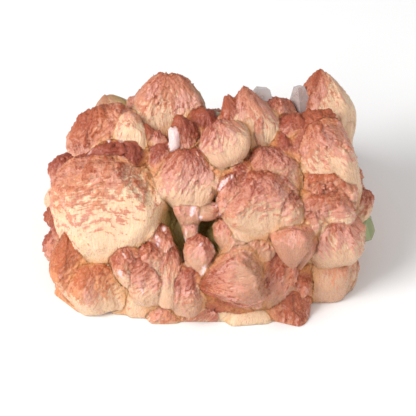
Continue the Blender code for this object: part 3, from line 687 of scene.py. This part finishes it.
def nearest_sheaves(points, grown):
    """For each point the sheaf that it belongs to, and its place in that sheaf: across it, through
    it and up it in millimetres, and along it from 0 at the foot to 1 at the crown."""
    count = len(points)
    best = np.full(count, 1e9)
    owner = np.zeros(count, dtype=np.int64)
    place = np.zeros((count, 4))
    for index, one in enumerate(grown):
        sheaf = one.sheaf
        low, high = one.points.min(axis=0) - 3, one.points.max(axis=0) + 3
        near = np.nonzero(((points > low) & (points < high)).all(axis=1))[0]
        local = (points[near] - one.foot) @ one.frame.T
        along = local[:, 2] / one.length
        wide, deep, moved = section(sheaf, along)
        wide = np.maximum(wide, 0.12)
        deep = np.maximum(deep, 0.12)
        x = (local[:, 0] - sheaf.half_breadth * moved * sheaf.peak) / (sheaf.half_breadth * wide)
        y = local[:, 1] / (sheaf.half_thickness * deep)
        ring = (np.abs(x) ** sheaf.square + np.abs(y) ** sheaf.square) ** (1 / sheaf.square)
        off = (ring - 1) * np.minimum(sheaf.half_breadth * wide, sheaf.half_thickness * deep)
        off = np.maximum(off, np.maximum(local[:, 2] - one.length, -local[:, 2]))
        centred = local - np.array((0, 0, one.length / 2))
        for normal, reach in one.planes:
            off = np.maximum(off, centred @ normal - reach)
        closer = off < best[near]
        best[near] = np.minimum(best[near], off)
        owner[near[closer]] = index
        inside = np.clip(x, -1.5, 1.5) * sheaf.half_breadth
        found = np.stack((inside, local[:, 1], local[:, 2], along), axis=1)
        place[near[closer]] = found[closer]
    return owner, place


def mark(points, normals, grown, hollow):
    """Works out each point's markings: how far it moves out, and its attributes."""
    owner, place = nearest_sheaves(points, grown)
    grains = [grain_of(one.sheaf) for one in grown]
    slant = np.radians([grain.slant for grain in grains])[owner]
    plate = np.array([grain.plate for grain in grains])[owner]
    step = np.array([grain.step for grain in grains])[owner]
    blush = np.array([grain.blush for grain in grains])[owner]
    warm = np.array([grain.warm for grain in grains])[owner]
    tan = np.array([grain.tan for grain in grains])[owner]
    aside = np.array([grain.aside / one.sheaf.half_breadth for grain, one in zip(grains, grown)])[owner]
    breadth = np.array([one.sheaf.half_breadth for one in grown])[owner]
    pearl = np.array([grain.pearl for grain in grains])[owner]
    ups = np.array([one.frame[2] for one in grown])[owner]
    apart = np.stack((owner * 13.7, owner * 7.3, owner * 3.1), axis=1)
    across, through, up, along = place.T
    facing_up = (normals * ups).sum(axis=1)
    local = np.stack((across, through, up), axis=1)
    # The plates' edges run along edge_run, and downhill runs square to them, towards the foot. Edges
    # that run across a sheaf arch over its foot.
    side = np.where(np.sin(slant) >= 0, 1.0, -1.0)
    edge_run = up * np.cos(slant) + across * np.sin(slant)
    arched = np.sqrt(up**2 + 0.5 * across**2)
    downhill = side * (across * np.cos(slant) - arched * np.sin(slant)) + through * 0.5
    laid = np.stack((edge_run, downhill, through), axis=1)
    broad = layered_noise(local / 6 + apart, 5, 2)
    jagged = layered_noise(laid / (0.9, 1.6, 1.6) + apart, 3)
    bands = layered_noise(laid / (2.6, 0.8, 1.6) + apart, 21, 2)
    patches = layered_noise(laid / (6, 2.5, 5) + apart, 31, 2)
    # The narrow crystals in a sheaf, each a little higher, tilted and redder or paler.
    width = np.clip(CRYSTAL_SHARE * breadth, *CRYSTAL_WIDTHS)[:, None]
    crystal, away, rim = cells(local / (width * (1, 1, 2.2)) + apart + 0.12 * jagged[:, None], 41)
    tone, turned, tipped = (2 * lattice(*crystal.T, seed) - 1 for seed in (51, 52, 53))
    parted = np.clip(1.6 - 0.35 * plate, 0.15, 1)
    tone = tone * parted
    level = downhill / plate + 0.28 * jagged + 0.9 * broad + 0.5 * tone
    fraction = level - np.floor(level)
    saw = np.minimum(fraction / 0.82, (1 - fraction) / 0.18)
    fine_level = 2.4 * level + 0.5 * jagged + 0.5 * bands
    fine = fine_level - np.floor(fine_level)
    share = np.where(blush >= 0, along - (1 - blush), -blush - along) + aside * across
    share += 0.11 * tone
    scaly = smooth(-0.35, 0.15, share + 0.25 * facing_up + 0.08 * broad)
    rib = layered_noise(np.stack((across / 0.8, through / 0.8, up / 9), axis=1) + apart, 9, 2)
    strength = smooth(-0.6, 0.5, patches)
    facet = 0.4 * tone + 0.9 * turned * away[:, 0] + 0.7 * tipped * away[:, 2]
    out = np.minimum(1.6 * step, 0.9) * (0.3 + 0.7 * scaly) * parted * facet
    out += step * (0.15 + 0.85 * scaly) * (0.3 + 0.7 * strength) * (saw - 0.5)
    out += 0.5 * step * scaly * (fine - 0.5)
    out += 0.07 * rib * (1 - 0.5 * scaly) + 0.08 * scaly * jagged + 0.40 * broad
    out -= 0.12 * scaly * parted * (1 - smooth(0.0, 0.16, rim))
    # Red where the crown is scaly, in streaks along the plates, and on their lips.
    lip = smooth(0.45, 0.80, fraction) * (1 - smooth(0.82, 0.95, fraction))
    arced = smooth(2.2, 4.2, plate)
    red = share / (0.28 + 0.2 * arced) + 0.3 * facing_up + 0.45 * (saw - 0.5) + 0.45 * bands
    red += 0.2 * jagged - 0.1 + 0.1 * arced
    red += (0.3 + 0.7 * smooth(-0.2, 0.5, patches) + 0.6 * arced) * lip
    red -= 0.5 * smooth(0.1, 0.8, hollow)
    return {
        "out": out,
        "red": red,
        "warm": warm + 0.25 * broad,
        "tan": TAN_SHARE * tan + 0.2 * broad,
        "tone": tone,
        "frayed": parted,
        # Painted glints: some narrow crystals get a pinkish-white painted highlight.
        "pearl": (lattice(*crystal.T, 54) < pearl) * smooth(0.05, 0.3, rim + (pearl >= 1)),
        # The crease mask, which the material paints amber as glow and shade.
        "crease": smooth(0.05, 0.8, hollow),
        "grain": np.stack((downhill, through, edge_run), axis=1) + apart,
        "growth": local + apart,
    }


def hollows(points, normals, edges, rounds):
    """Points evened out by a few rounds, and how far each lies below a wider evening, in
    millimetres."""
    count = len(points)
    first, second = edges.T
    both = np.concatenate((first, second))
    other = np.concatenate((second, first))
    degree = np.maximum(1, np.bincount(both, minlength=count))
    even = points.copy()
    for turn in range(rounds):
        if turn == EVENING_ROUNDS:
            evened = even.copy()
        for axis in range(3):
            even[:, axis] = np.bincount(both, weights=even[other, axis], minlength=count) / degree
    return evened, ((even - evened) * normals).sum(axis=1)


def deep_places(points):
    """How deep each point lies between the sheaves or in the cavity, from 0 to 1."""
    inverse = np.array(SHOW_FACE.to_cluster().inverted())
    placed = points @ inverse[:3, :3].T + inverse[:3, 3]
    left = 1 - (placed[:, 0] / SHOW_FACE.half_width) ** 2 - (placed[:, 1] / SHOW_FACE.half_rise) ** 2
    bulge = SHOW_FACE.height * np.sqrt(np.maximum(BULGE_LEAST, left))
    under = np.where(np.abs(placed[:, 0]) < DEEP_HALF_WIDTH, bulge - placed[:, 2], 0)
    front = placed[:, 2] > 0
    off = [(placed[:, i] - CAVITY_ON_FACE[i]) / CAVITY_HALF[i] for i in (0, 1)]
    cavity = 1 - smooth(0.8, 1.5, np.hypot(*off))
    past = under - DEEP_START + CAVITY_SOONER * cavity
    return smooth(0.0, 1.0, past / (DEEP_RUN - CAVITY_SOONER * cavity)) * front


def dress(obj, grown, grain):
    """Moves a fused body's points by their markings, and stores what its material needs."""
    mesh = obj.data
    count = len(mesh.vertices)
    points = np.empty(count * 3)
    mesh.vertices.foreach_get("co", points)
    points = points.reshape(-1, 3)
    normals = np.empty(count * 3, dtype=np.float32)
    mesh.vertex_normals.foreach_get("vector", normals)
    normals = normals.reshape(-1, 3).astype(float)
    edges = np.empty(len(mesh.edges) * 2, dtype=np.int32)
    mesh.edges.foreach_get("vertices", edges)
    points, hollow = hollows(points, normals, edges.reshape(-1, 2), round(EVENING_SPREAD / grain**2))
    marks = mark(points, normals, grown, hollow)
    # How deep each point lies, which the material paints as shade.
    marks["deep"] = deep_places(points)
    lift = smooth(0.02, 1.5, points[:, 2])
    out = marks["out"] + CREASE_FILL * np.clip(hollow, 0, 3)
    moved = points + normals * (out * lift)[:, None]
    moved[:, 2] = np.where(points[:, 2] < 0.02, 0, np.maximum(moved[:, 2], 0))
    mesh.vertices.foreach_set("co", (moved * MM).ravel())
    for name in ("red", "warm", "tan", "tone", "frayed", "pearl", "crease", "deep"):
        layer = mesh.attributes.new(name, "FLOAT", "POINT")
        layer.data.foreach_set("value", marks[name].astype(np.float32))
    for name in ("grain", "growth"):
        layer = mesh.attributes.new(name, "FLOAT_VECTOR", "POINT")
        layer.data.foreach_set("vector", marks[name].astype(np.float32).ravel())
    mesh.update()
    mesh.polygons.foreach_set("use_smooth", [True] * len(mesh.polygons))
    return obj


def node(tree, kind, place, **values):
    made = tree.nodes.new(kind)
    made.location = place
    for name, value in values.items():
        setattr(made, name, value)
    return made


def attribute(tree, name, place):
    return node(tree, "ShaderNodeAttribute", place, attribute_name=name)


def mix(tree, place, factor, first, second, kind="MIX"):
    """A colour mix; factor, first and second are sockets or values."""
    made = node(tree, "ShaderNodeMix", place, data_type="RGBA", blend_type=kind)
    for socket, value in ((made.inputs[0], factor), (made.inputs[6], first), (made.inputs[7], second)):
        if isinstance(value, bpy.types.NodeSocket):
            tree.links.new(value, socket)
        elif isinstance(value, tuple):
            socket.default_value = (*value, 1)
        else:
            socket.default_value = value
    return made.outputs[2]


def maths(tree, place, kind, first, second=0.0, clamp=False):
    made = node(tree, "ShaderNodeMath", place, operation=kind, use_clamp=clamp)
    for socket, value in ((made.inputs[0], first), (made.inputs[1], second)):
        if isinstance(value, bpy.types.NodeSocket):
            tree.links.new(value, socket)
        else:
            socket.default_value = value
    return made.outputs[0]


def spread(tree, place, value, low, high, new_low=0.0, new_high=1.0):
    """Takes a value from low to high smoothly over to the new ends."""
    made = node(tree, "ShaderNodeMapRange", place, interpolation_type="SMOOTHSTEP")
    tree.links.new(value, made.inputs["Value"])
    for name, end in (("From Min", low), ("From Max", high), ("To Min", new_low), ("To Max", new_high)):
        made.inputs[name].default_value = end
    return made.outputs["Result"]


def drawn_out_noise():
    """The node group of noise drawn out along one direction, which every material uses."""
    if "drawn_out_noise" in bpy.data.node_groups:
        return bpy.data.node_groups["drawn_out_noise"]
    group = bpy.data.node_groups.new("drawn_out_noise", "ShaderNodeTree")
    group.interface.new_socket("Vector", in_out="INPUT", socket_type="NodeSocketVector")
    group.interface.new_socket("Scale", in_out="INPUT", socket_type="NodeSocketVector")
    group.interface.new_socket("Detail", in_out="INPUT", socket_type="NodeSocketFloat")
    group.interface.new_socket("Value", in_out="OUTPUT", socket_type="NodeSocketFloat")
    given = node(group, "NodeGroupInput", (-600, 0)).outputs
    scaled = node(group, "ShaderNodeMapping", (-400, 0))
    field = node(group, "ShaderNodeTexNoise", (-200, 0))
    field.inputs["Scale"].default_value = 1.0
    result = node(group, "NodeGroupOutput", (0, 0)).inputs
    group.links.new(given["Vector"], scaled.inputs["Vector"])
    group.links.new(given["Scale"], scaled.inputs["Scale"])
    group.links.new(given["Detail"], field.inputs["Detail"])
    group.links.new(scaled.outputs[0], field.inputs["Vector"])
    group.links.new(field.outputs["Fac"], result["Value"])
    return group


def stretched_noise(tree, place, vector, scale, stretch, detail=3.0):
    """Noise drawn out along the third direction of a vector."""
    made = node(tree, "ShaderNodeGroup", place, node_tree=drawn_out_noise())
    made.inputs["Scale"].default_value = (scale, scale, scale / stretch)
    made.inputs["Detail"].default_value = detail
    tree.links.new(vector, made.inputs["Vector"])
    return made.outputs["Value"]


CREAM = (0.80, 0.53, 0.32)
PALE = (0.86, 0.64, 0.44)
RED = (0.33, 0.070, 0.036)
ORANGE = (0.52, 0.140, 0.045)
PEACH = (0.53, 0.25, 0.155)
MIDDLE_RED = (0.58, 0.22, 0.145)
MIDDLE_ORANGE = (0.70, 0.29, 0.13)
PINK = (0.72, 0.38, 0.31)
# The amber of the painted glow and shade in the creases.
PAINTED_CREASE_AMBER = (0.66, 0.27, 0.07)
# The pinkish white of the painted glints.
PAINTED_GLINT_COLOUR = (0.90, 0.66, 0.64)
# The olive-tinted dark of the painted shade in deep places.
PAINTED_SHADE_OLIVE = (0.30, 0.22, 0.05)


def stilbite_material(settings):
    """Waxy stilbite: red scaly crowns and cream striated flanks, with amber painted glow and shade in the
    creases, olive painted shade in deep places and pinkish-white painted glints.
    """
    material = bpy.data.materials.new("stilbite")
    material.use_nodes = True
    tree = material.node_tree
    shader = tree.nodes["Principled BSDF"]
    grain = attribute(tree, "grain", (-1800, 0)).outputs["Vector"]
    growth = attribute(tree, "growth", (-1800, -150)).outputs["Vector"]
    red = attribute(tree, "red", (-1800, 300)).outputs["Fac"]
    warm = attribute(tree, "warm", (-1800, 500)).outputs["Fac"]
    tan = attribute(tree, "tan", (-1800, 700)).outputs["Fac"]
    tone = attribute(tree, "tone", (-1800, 900)).outputs["Fac"]
    crease = attribute(tree, "crease", (-1800, -300)).outputs["Fac"]
    deep = attribute(tree, "deep", (-1800, -500)).outputs["Fac"]
    pearl = attribute(tree, "pearl", (-1800, -700)).outputs["Fac"]
    frayed = attribute(tree, "frayed", (-1800, 1100)).outputs["Fac"]
    lines = stretched_noise(tree, (-1500, 0), grain, 2.2, 8.0)
    teeth = stretched_noise(tree, (-1500, -100), growth, 1.6, 6.0)
    striae = stretched_noise(tree, (-1500, -400), growth, 2.2, 9.0)
    clouds = stretched_noise(tree, (-1500, -250), growth, 0.22, 1.5)
    specks = stretched_noise(tree, (-1500, 250), growth, 2.6, 1.5, 2.0)
    # The red's edge is broken up by lines along the plates and, where it is frayed, by teeth along
    # the growth.
    combed = maths(tree, (-1600, 200), "SUBTRACT", teeth, 0.5)
    combed = maths(tree, (-1500, 200), "MULTIPLY", combed, frayed)
    combed = maths(tree, (-1400, 200), "MULTIPLY", combed, 2.0)
    lined_out = maths(tree, (-1400, 50), "MULTIPLY", maths(tree, (-1500, 50), "SUBTRACT", lines, 0.5), 2.8)
    streaky = maths(tree, (-1200, 200), "ADD", maths(tree, (-1300, 200), "ADD", combed, lined_out), red)
    half_red = spread(tree, (-1000, 200), streaky, -0.2, 0.4)
    full_red = spread(tree, (-1000, 0), streaky, 0.7, 2.2)
    cream = mix(tree, (-1000, 600), clouds, tuple(settings.cream), PALE)
    lined = mix(tree, (-900, 600), spread(tree, (-1000, 500), striae, 0.45, 0.75, 0.0, 0.4), cream, PEACH)
    base = mix(tree, (-850, 600), tan, lined, PEACH)
    middle = mix(tree, (-1000, 800), warm, MIDDLE_RED, MIDDLE_ORANGE)
    deepest = mix(tree, (-1000, 1000), warm, tuple(settings.red), tuple(settings.orange))
    pinker = spread(tree, (-950, 900), maths(tree, (-1100, 900), "ADD", specks, tone), 0.0, 1.6, 0.0, 0.7)
    pinkish = mix(tree, (-800, 800), pinker, middle, PINK)
    colour = mix(tree, (-600, 500), half_red, base, pinkish)
    colour = mix(tree, (-500, 500), full_red, colour, deepest)
    # Painted glow and shade: creases are coloured amber, standing in for light passing through the
    # crystals and for the shade in them.
    amber = maths(tree, (-800, -300), "MULTIPLY", crease, 0.6)
    colour = mix(tree, (-400, 400), amber, colour, PAINTED_CREASE_AMBER)
    # Painted shade: places deep between the sheaves and in the cavity darken towards an olive-tinted dark.
    dark = maths(tree, (-800, -500), "MULTIPLY", deep, 0.85)
    colour = mix(tree, (-200, 300), dark, colour, PAINTED_SHADE_OLIVE)
    # Painted highlight: glints are painted pinkish white into the colour, where the roughness is lowered
    # too.
    colour = mix(tree, (0, 300), pearl, colour, PAINTED_GLINT_COLOUR)
    tree.links.new(colour, shader.inputs["Base Color"])
    shader.inputs["Subsurface Weight"].default_value = 0.35
    shader.inputs["Subsurface Radius"].default_value = (1.0, 0.42, 0.16)
    shader.inputs["Subsurface Scale"].default_value = 0.0025
    rough = spread(tree, (-600, -100), specks, 0.35, 0.65, 0.5, 0.2)
    rough = maths(tree, (-450, -100), "SUBTRACT", rough, maths(tree, (-600, -200), "MULTIPLY", pearl, 0.2))
    tree.links.new(rough, shader.inputs["Roughness"])
    bump = node(tree, "ShaderNodeBump", (-400, -300))
    bump.inputs["Strength"].default_value = 0.8
    bump.inputs["Distance"].default_value = 0.0004
    height = maths(tree, (-600, -400), "ADD", lines, maths(tree, (-750, -450), "MULTIPLY", specks, 0.6))
    height = maths(tree, (-500, -400), "ADD", height, maths(tree, (-650, -550), "MULTIPLY", teeth, 0.6))
    tree.links.new(height, bump.inputs["Height"])
    tree.links.new(bump.outputs["Normal"], shader.inputs["Normal"])
    return material


GREEN = (0.55, 0.68, 0.36)
GREEN_CLOUD = (0.74, 0.82, 0.58)
CLEAR = (0.92, 0.86, 0.84)
CLEAR_CLOUD = (0.78, 0.66, 0.63)

# How strongly the crystals take up light on its way through, for each metre.
GREEN_DENSITY = 25.0
CLEAR_DENSITY = 6.0


def crystal_material(name, colour, cloud, clearness, density):
    """A glassy crystal: clear inside, with clouds in its colour and fine growth lines on its faces."""
    material = bpy.data.materials.new(name)
    material.use_nodes = True
    tree = material.node_tree
    shader = tree.nodes["Principled BSDF"]
    place = node(tree, "ShaderNodeTexCoord", (-1100, 0)).outputs["Object"]
    clouds = stretched_noise(tree, (-900, 200), place, 320.0, 1.5)
    lines = stretched_noise(tree, (-900, -200), place, 1400.0, 12.0)
    tint = mix(tree, (-400, 200), spread(tree, (-550, 200), clouds, 0.4, 0.7), colour, cloud)
    tree.links.new(tint, shader.inputs["Base Color"])
    tree.links.new(spread(tree, (-400, 0), clouds, 0.4, 0.7, 0.06, 0.3), shader.inputs["Roughness"])
    shader.inputs["Transmission Weight"].default_value = clearness
    shader.inputs["IOR"].default_value = 1.54
    bump = node(tree, "ShaderNodeBump", (-300, -300))
    bump.inputs["Strength"].default_value = 0.4
    bump.inputs["Distance"].default_value = 0.0001
    tree.links.new(lines, bump.inputs["Height"])
    tree.links.new(bump.outputs["Normal"], shader.inputs["Normal"])
    absorbed = node(tree, "ShaderNodeVolumeAbsorption", (0, -300))
    absorbed.inputs["Color"].default_value = (*colour, 1)
    absorbed.inputs["Density"].default_value = density
    tree.links.new(absorbed.outputs["Volume"], tree.nodes["Material Output"].inputs["Volume"])
    return material


FLOOR = (0.93, 0.93, 0.93)
STUDIO_LIGHT = 0.54


def floor_material():
    material = bpy.data.materials.new("floor")
    material.use_nodes = True
    shader = material.node_tree.nodes["Principled BSDF"]
    shader.inputs["Base Color"].default_value = (*FLOOR, 1)
    shader.inputs["Roughness"].default_value = 0.8
    return material


def all_grown():
    made = []
    for face, rows in FACES:
        for sheaf in rows:
            made += [grow(face, one) for one in (sheaf, *splayed(sheaf))]
    return made


def colour_setting(name, description, default):
    return bpy.props.FloatVectorProperty(
        name=name, description=description, default=default, size=3, min=0.0, max=1.0, subtype="COLOR"
    )


class STILBITE_PG_settings(bpy.types.PropertyGroup):
    """What the specimen's operators use."""

    cream: colour_setting("Cream", "Colour of the sheaves' flanks", CREAM)
    red: colour_setting("Red", "Deepest colour of the crowns", RED)
    orange: colour_setting("Orange", "Deepest colour of the warmest crowns", ORANGE)
    green: colour_setting("Green", "Colour of the green crystal", GREEN)
    clear: colour_setting("Colourless", "Colour of the colourless crystals", CLEAR)
    green_clearness: bpy.props.FloatProperty(
        name="Green clearness",
        description="How much light goes through the green crystal",
        default=0.6,
        min=0.0,
        max=1.0,
        subtype="FACTOR",
    )
    clear_clearness: bpy.props.FloatProperty(
        name="Colourless clearness",
        description="How much light goes through the colourless crystals",
        default=0.6,
        min=0.0,
        max=1.0,
        subtype="FACTOR",
    )
    front_grain: bpy.props.FloatProperty(
        name="Front grain",
        description="Size of the squares of the show face's skin, in millimetres",
        default=0.36,
        min=0.25,
        max=2.0,
    )
    back_grain: bpy.props.FloatProperty(
        name="Back grain",
        description="Size of the squares of the rest of the skin, in millimetres",
        default=0.5,
        min=0.25,
        max=2.0,
    )


class STILBITE_OT_cluster(bpy.types.Operator):
    """Grow the stilbite cluster"""

    bl_idname = "stilbite.cluster"
    bl_label = "Grow the cluster"

    def execute(self, context):
        settings = context.scene.stilbite
        grown = all_grown()
        parts = [massive_core()] + [(one.points, one.faces) for one in grown]
        out = SHOW_FACE.to_cluster().to_3x3() @ Vector((0, 0, 1))
        material = stilbite_material(settings)
        for name, grain, in_front in (
            ("stilbite_show_face", settings.front_grain, True),
            ("stilbite_back", settings.back_grain, False),
        ):
            lap = -DIVIDER_OVERLAP / 2 if in_front else DIVIDER_OVERLAP / 2
            divider = (Vector(SHOW_FACE.centre) + out * (DIVIDER_HEIGHT + lap), out)
            body = fuse(name, parts, grain, divider, in_front)
            body = thinned(dress(body, grown, grain), TRIANGLES_MOST)
            body.data.materials.append(material)
            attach(body, "root")
            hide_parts("stilbite_cluster")
        return {"FINISHED"}


class STILBITE_OT_crystals(bpy.types.Operator):
    """Clear and tint the green and the colourless crystals"""

    bl_idname = "stilbite.crystals"
    bl_label = "Tint the crystals"

    def execute(self, context):
        settings = context.scene.stilbite
        green = crystal_material(
            "green_crystal", tuple(settings.green), GREEN_CLOUD, settings.green_clearness, GREEN_DENSITY
        )
        clear = crystal_material(
            "clear_crystal", tuple(settings.clear), CLEAR_CLOUD, settings.clear_clearness, CLEAR_DENSITY
        )
        for name, material in (
            ("green_crystal", green),
            ("clear_crystal_left", clear),
            ("clear_crystal_right", clear),
        ):
            crystal = frame["nodes"][name]
            crystal.data.materials.clear()
            crystal.data.materials.append(material)
        return {"FINISHED"}


class STILBITE_OT_stage(bpy.types.Operator):
    """Set the floor, the light and the camera"""

    bl_idname = "stilbite.stage"
    bl_label = "Set the stage"

    def execute(self, context):
        shape = bmesh.new()
        bmesh.ops.create_grid(shape, x_segments=1, y_segments=1, size=3.0)
        mesh = bpy.data.meshes.new("floor")
        shape.to_mesh(mesh)
        shape.free()
        floor = bpy.data.objects.new("floor", mesh)
        context.scene.collection.objects.link(floor)
        floor.data.materials.append(floor_material())
        context.scene.view_settings.view_transform = "Standard"
        self.light(context, "key", (-0.55, -0.35, 0.62), 0.45, 7.5)
        self.light(context, "fill", (0.6, -0.5, 0.45), 0.6, 1.4)
        world = bpy.data.worlds.new("studio")
        world.use_nodes = True
        world.node_tree.nodes["Background"].inputs["Color"].default_value = (1, 1, 1, 1)
        world.node_tree.nodes["Background"].inputs["Strength"].default_value = STUDIO_LIGHT
        context.scene.world = world
        self.camera(context)
        return {"FINISHED"}

    def light(self, context, name, place, size, power):
        data = bpy.data.lights.new(name, "AREA")
        data.size = size
        data.energy = power
        made = bpy.data.objects.new(name, data)
        context.scene.collection.objects.link(made)
        made.location = place
        aim = Vector((0, 0, 0.02)) - Vector(place)
        made.rotation_mode = "QUATERNION"
        made.rotation_quaternion = aim.to_track_quat("-Z", "Y")

    def camera(self, context):
        data = bpy.data.cameras.new("camera")
        made = bpy.data.objects.new("camera", data)
        context.scene.collection.objects.link(made)
        out = SHOW_FACE.to_cluster().to_3x3() @ Vector((0, 0, 1))
        made.location = Vector(SHOW_FACE.centre) * MM + out * CAMERA_DISTANCE
        made.rotation_mode = "QUATERNION"
        made.rotation_quaternion = (-out).to_track_quat("-Z", "Y")
        half = PHOTO_SIDE * MM_PER_PIXEL * MM / 2
        data.sensor_width = 36
        data.lens = data.sensor_width / 2 * CAMERA_DISTANCE / half
        data.shift_y = CENTRE_SHIFT / PHOTO_SIDE
        context.scene.camera = made


class STILBITE_PT_panel(bpy.types.Panel):
    """The specimen's panel in the sidebar"""

    bl_label = "Stilbite specimen"
    bl_idname = "STILBITE_PT_panel"
    bl_space_type = "VIEW_3D"
    bl_region_type = "UI"
    bl_category = "Stilbite"

    def draw(self, context):
        for name in STILBITE_PG_settings.__annotations__:
            self.layout.prop(context.scene.stilbite, name)
        for operator in OPERATORS:
            self.layout.operator(operator.bl_idname)


OPERATORS = (STILBITE_OT_cluster, STILBITE_OT_crystals, STILBITE_OT_stage)
CLASSES = (STILBITE_PG_settings, *OPERATORS, STILBITE_PT_panel)


def register():
    for one in CLASSES:
        bpy.utils.register_class(one)
    bpy.types.Scene.stilbite = bpy.props.PointerProperty(type=STILBITE_PG_settings)


def unregister():
    del bpy.types.Scene.stilbite
    for one in reversed(CLASSES):
        bpy.utils.unregister_class(one)


def main():
    register()
    bpy.ops.stilbite.cluster()
    bpy.ops.stilbite.crystals()
    bpy.ops.stilbite.stage()


if __name__ == "__main__":
    main()
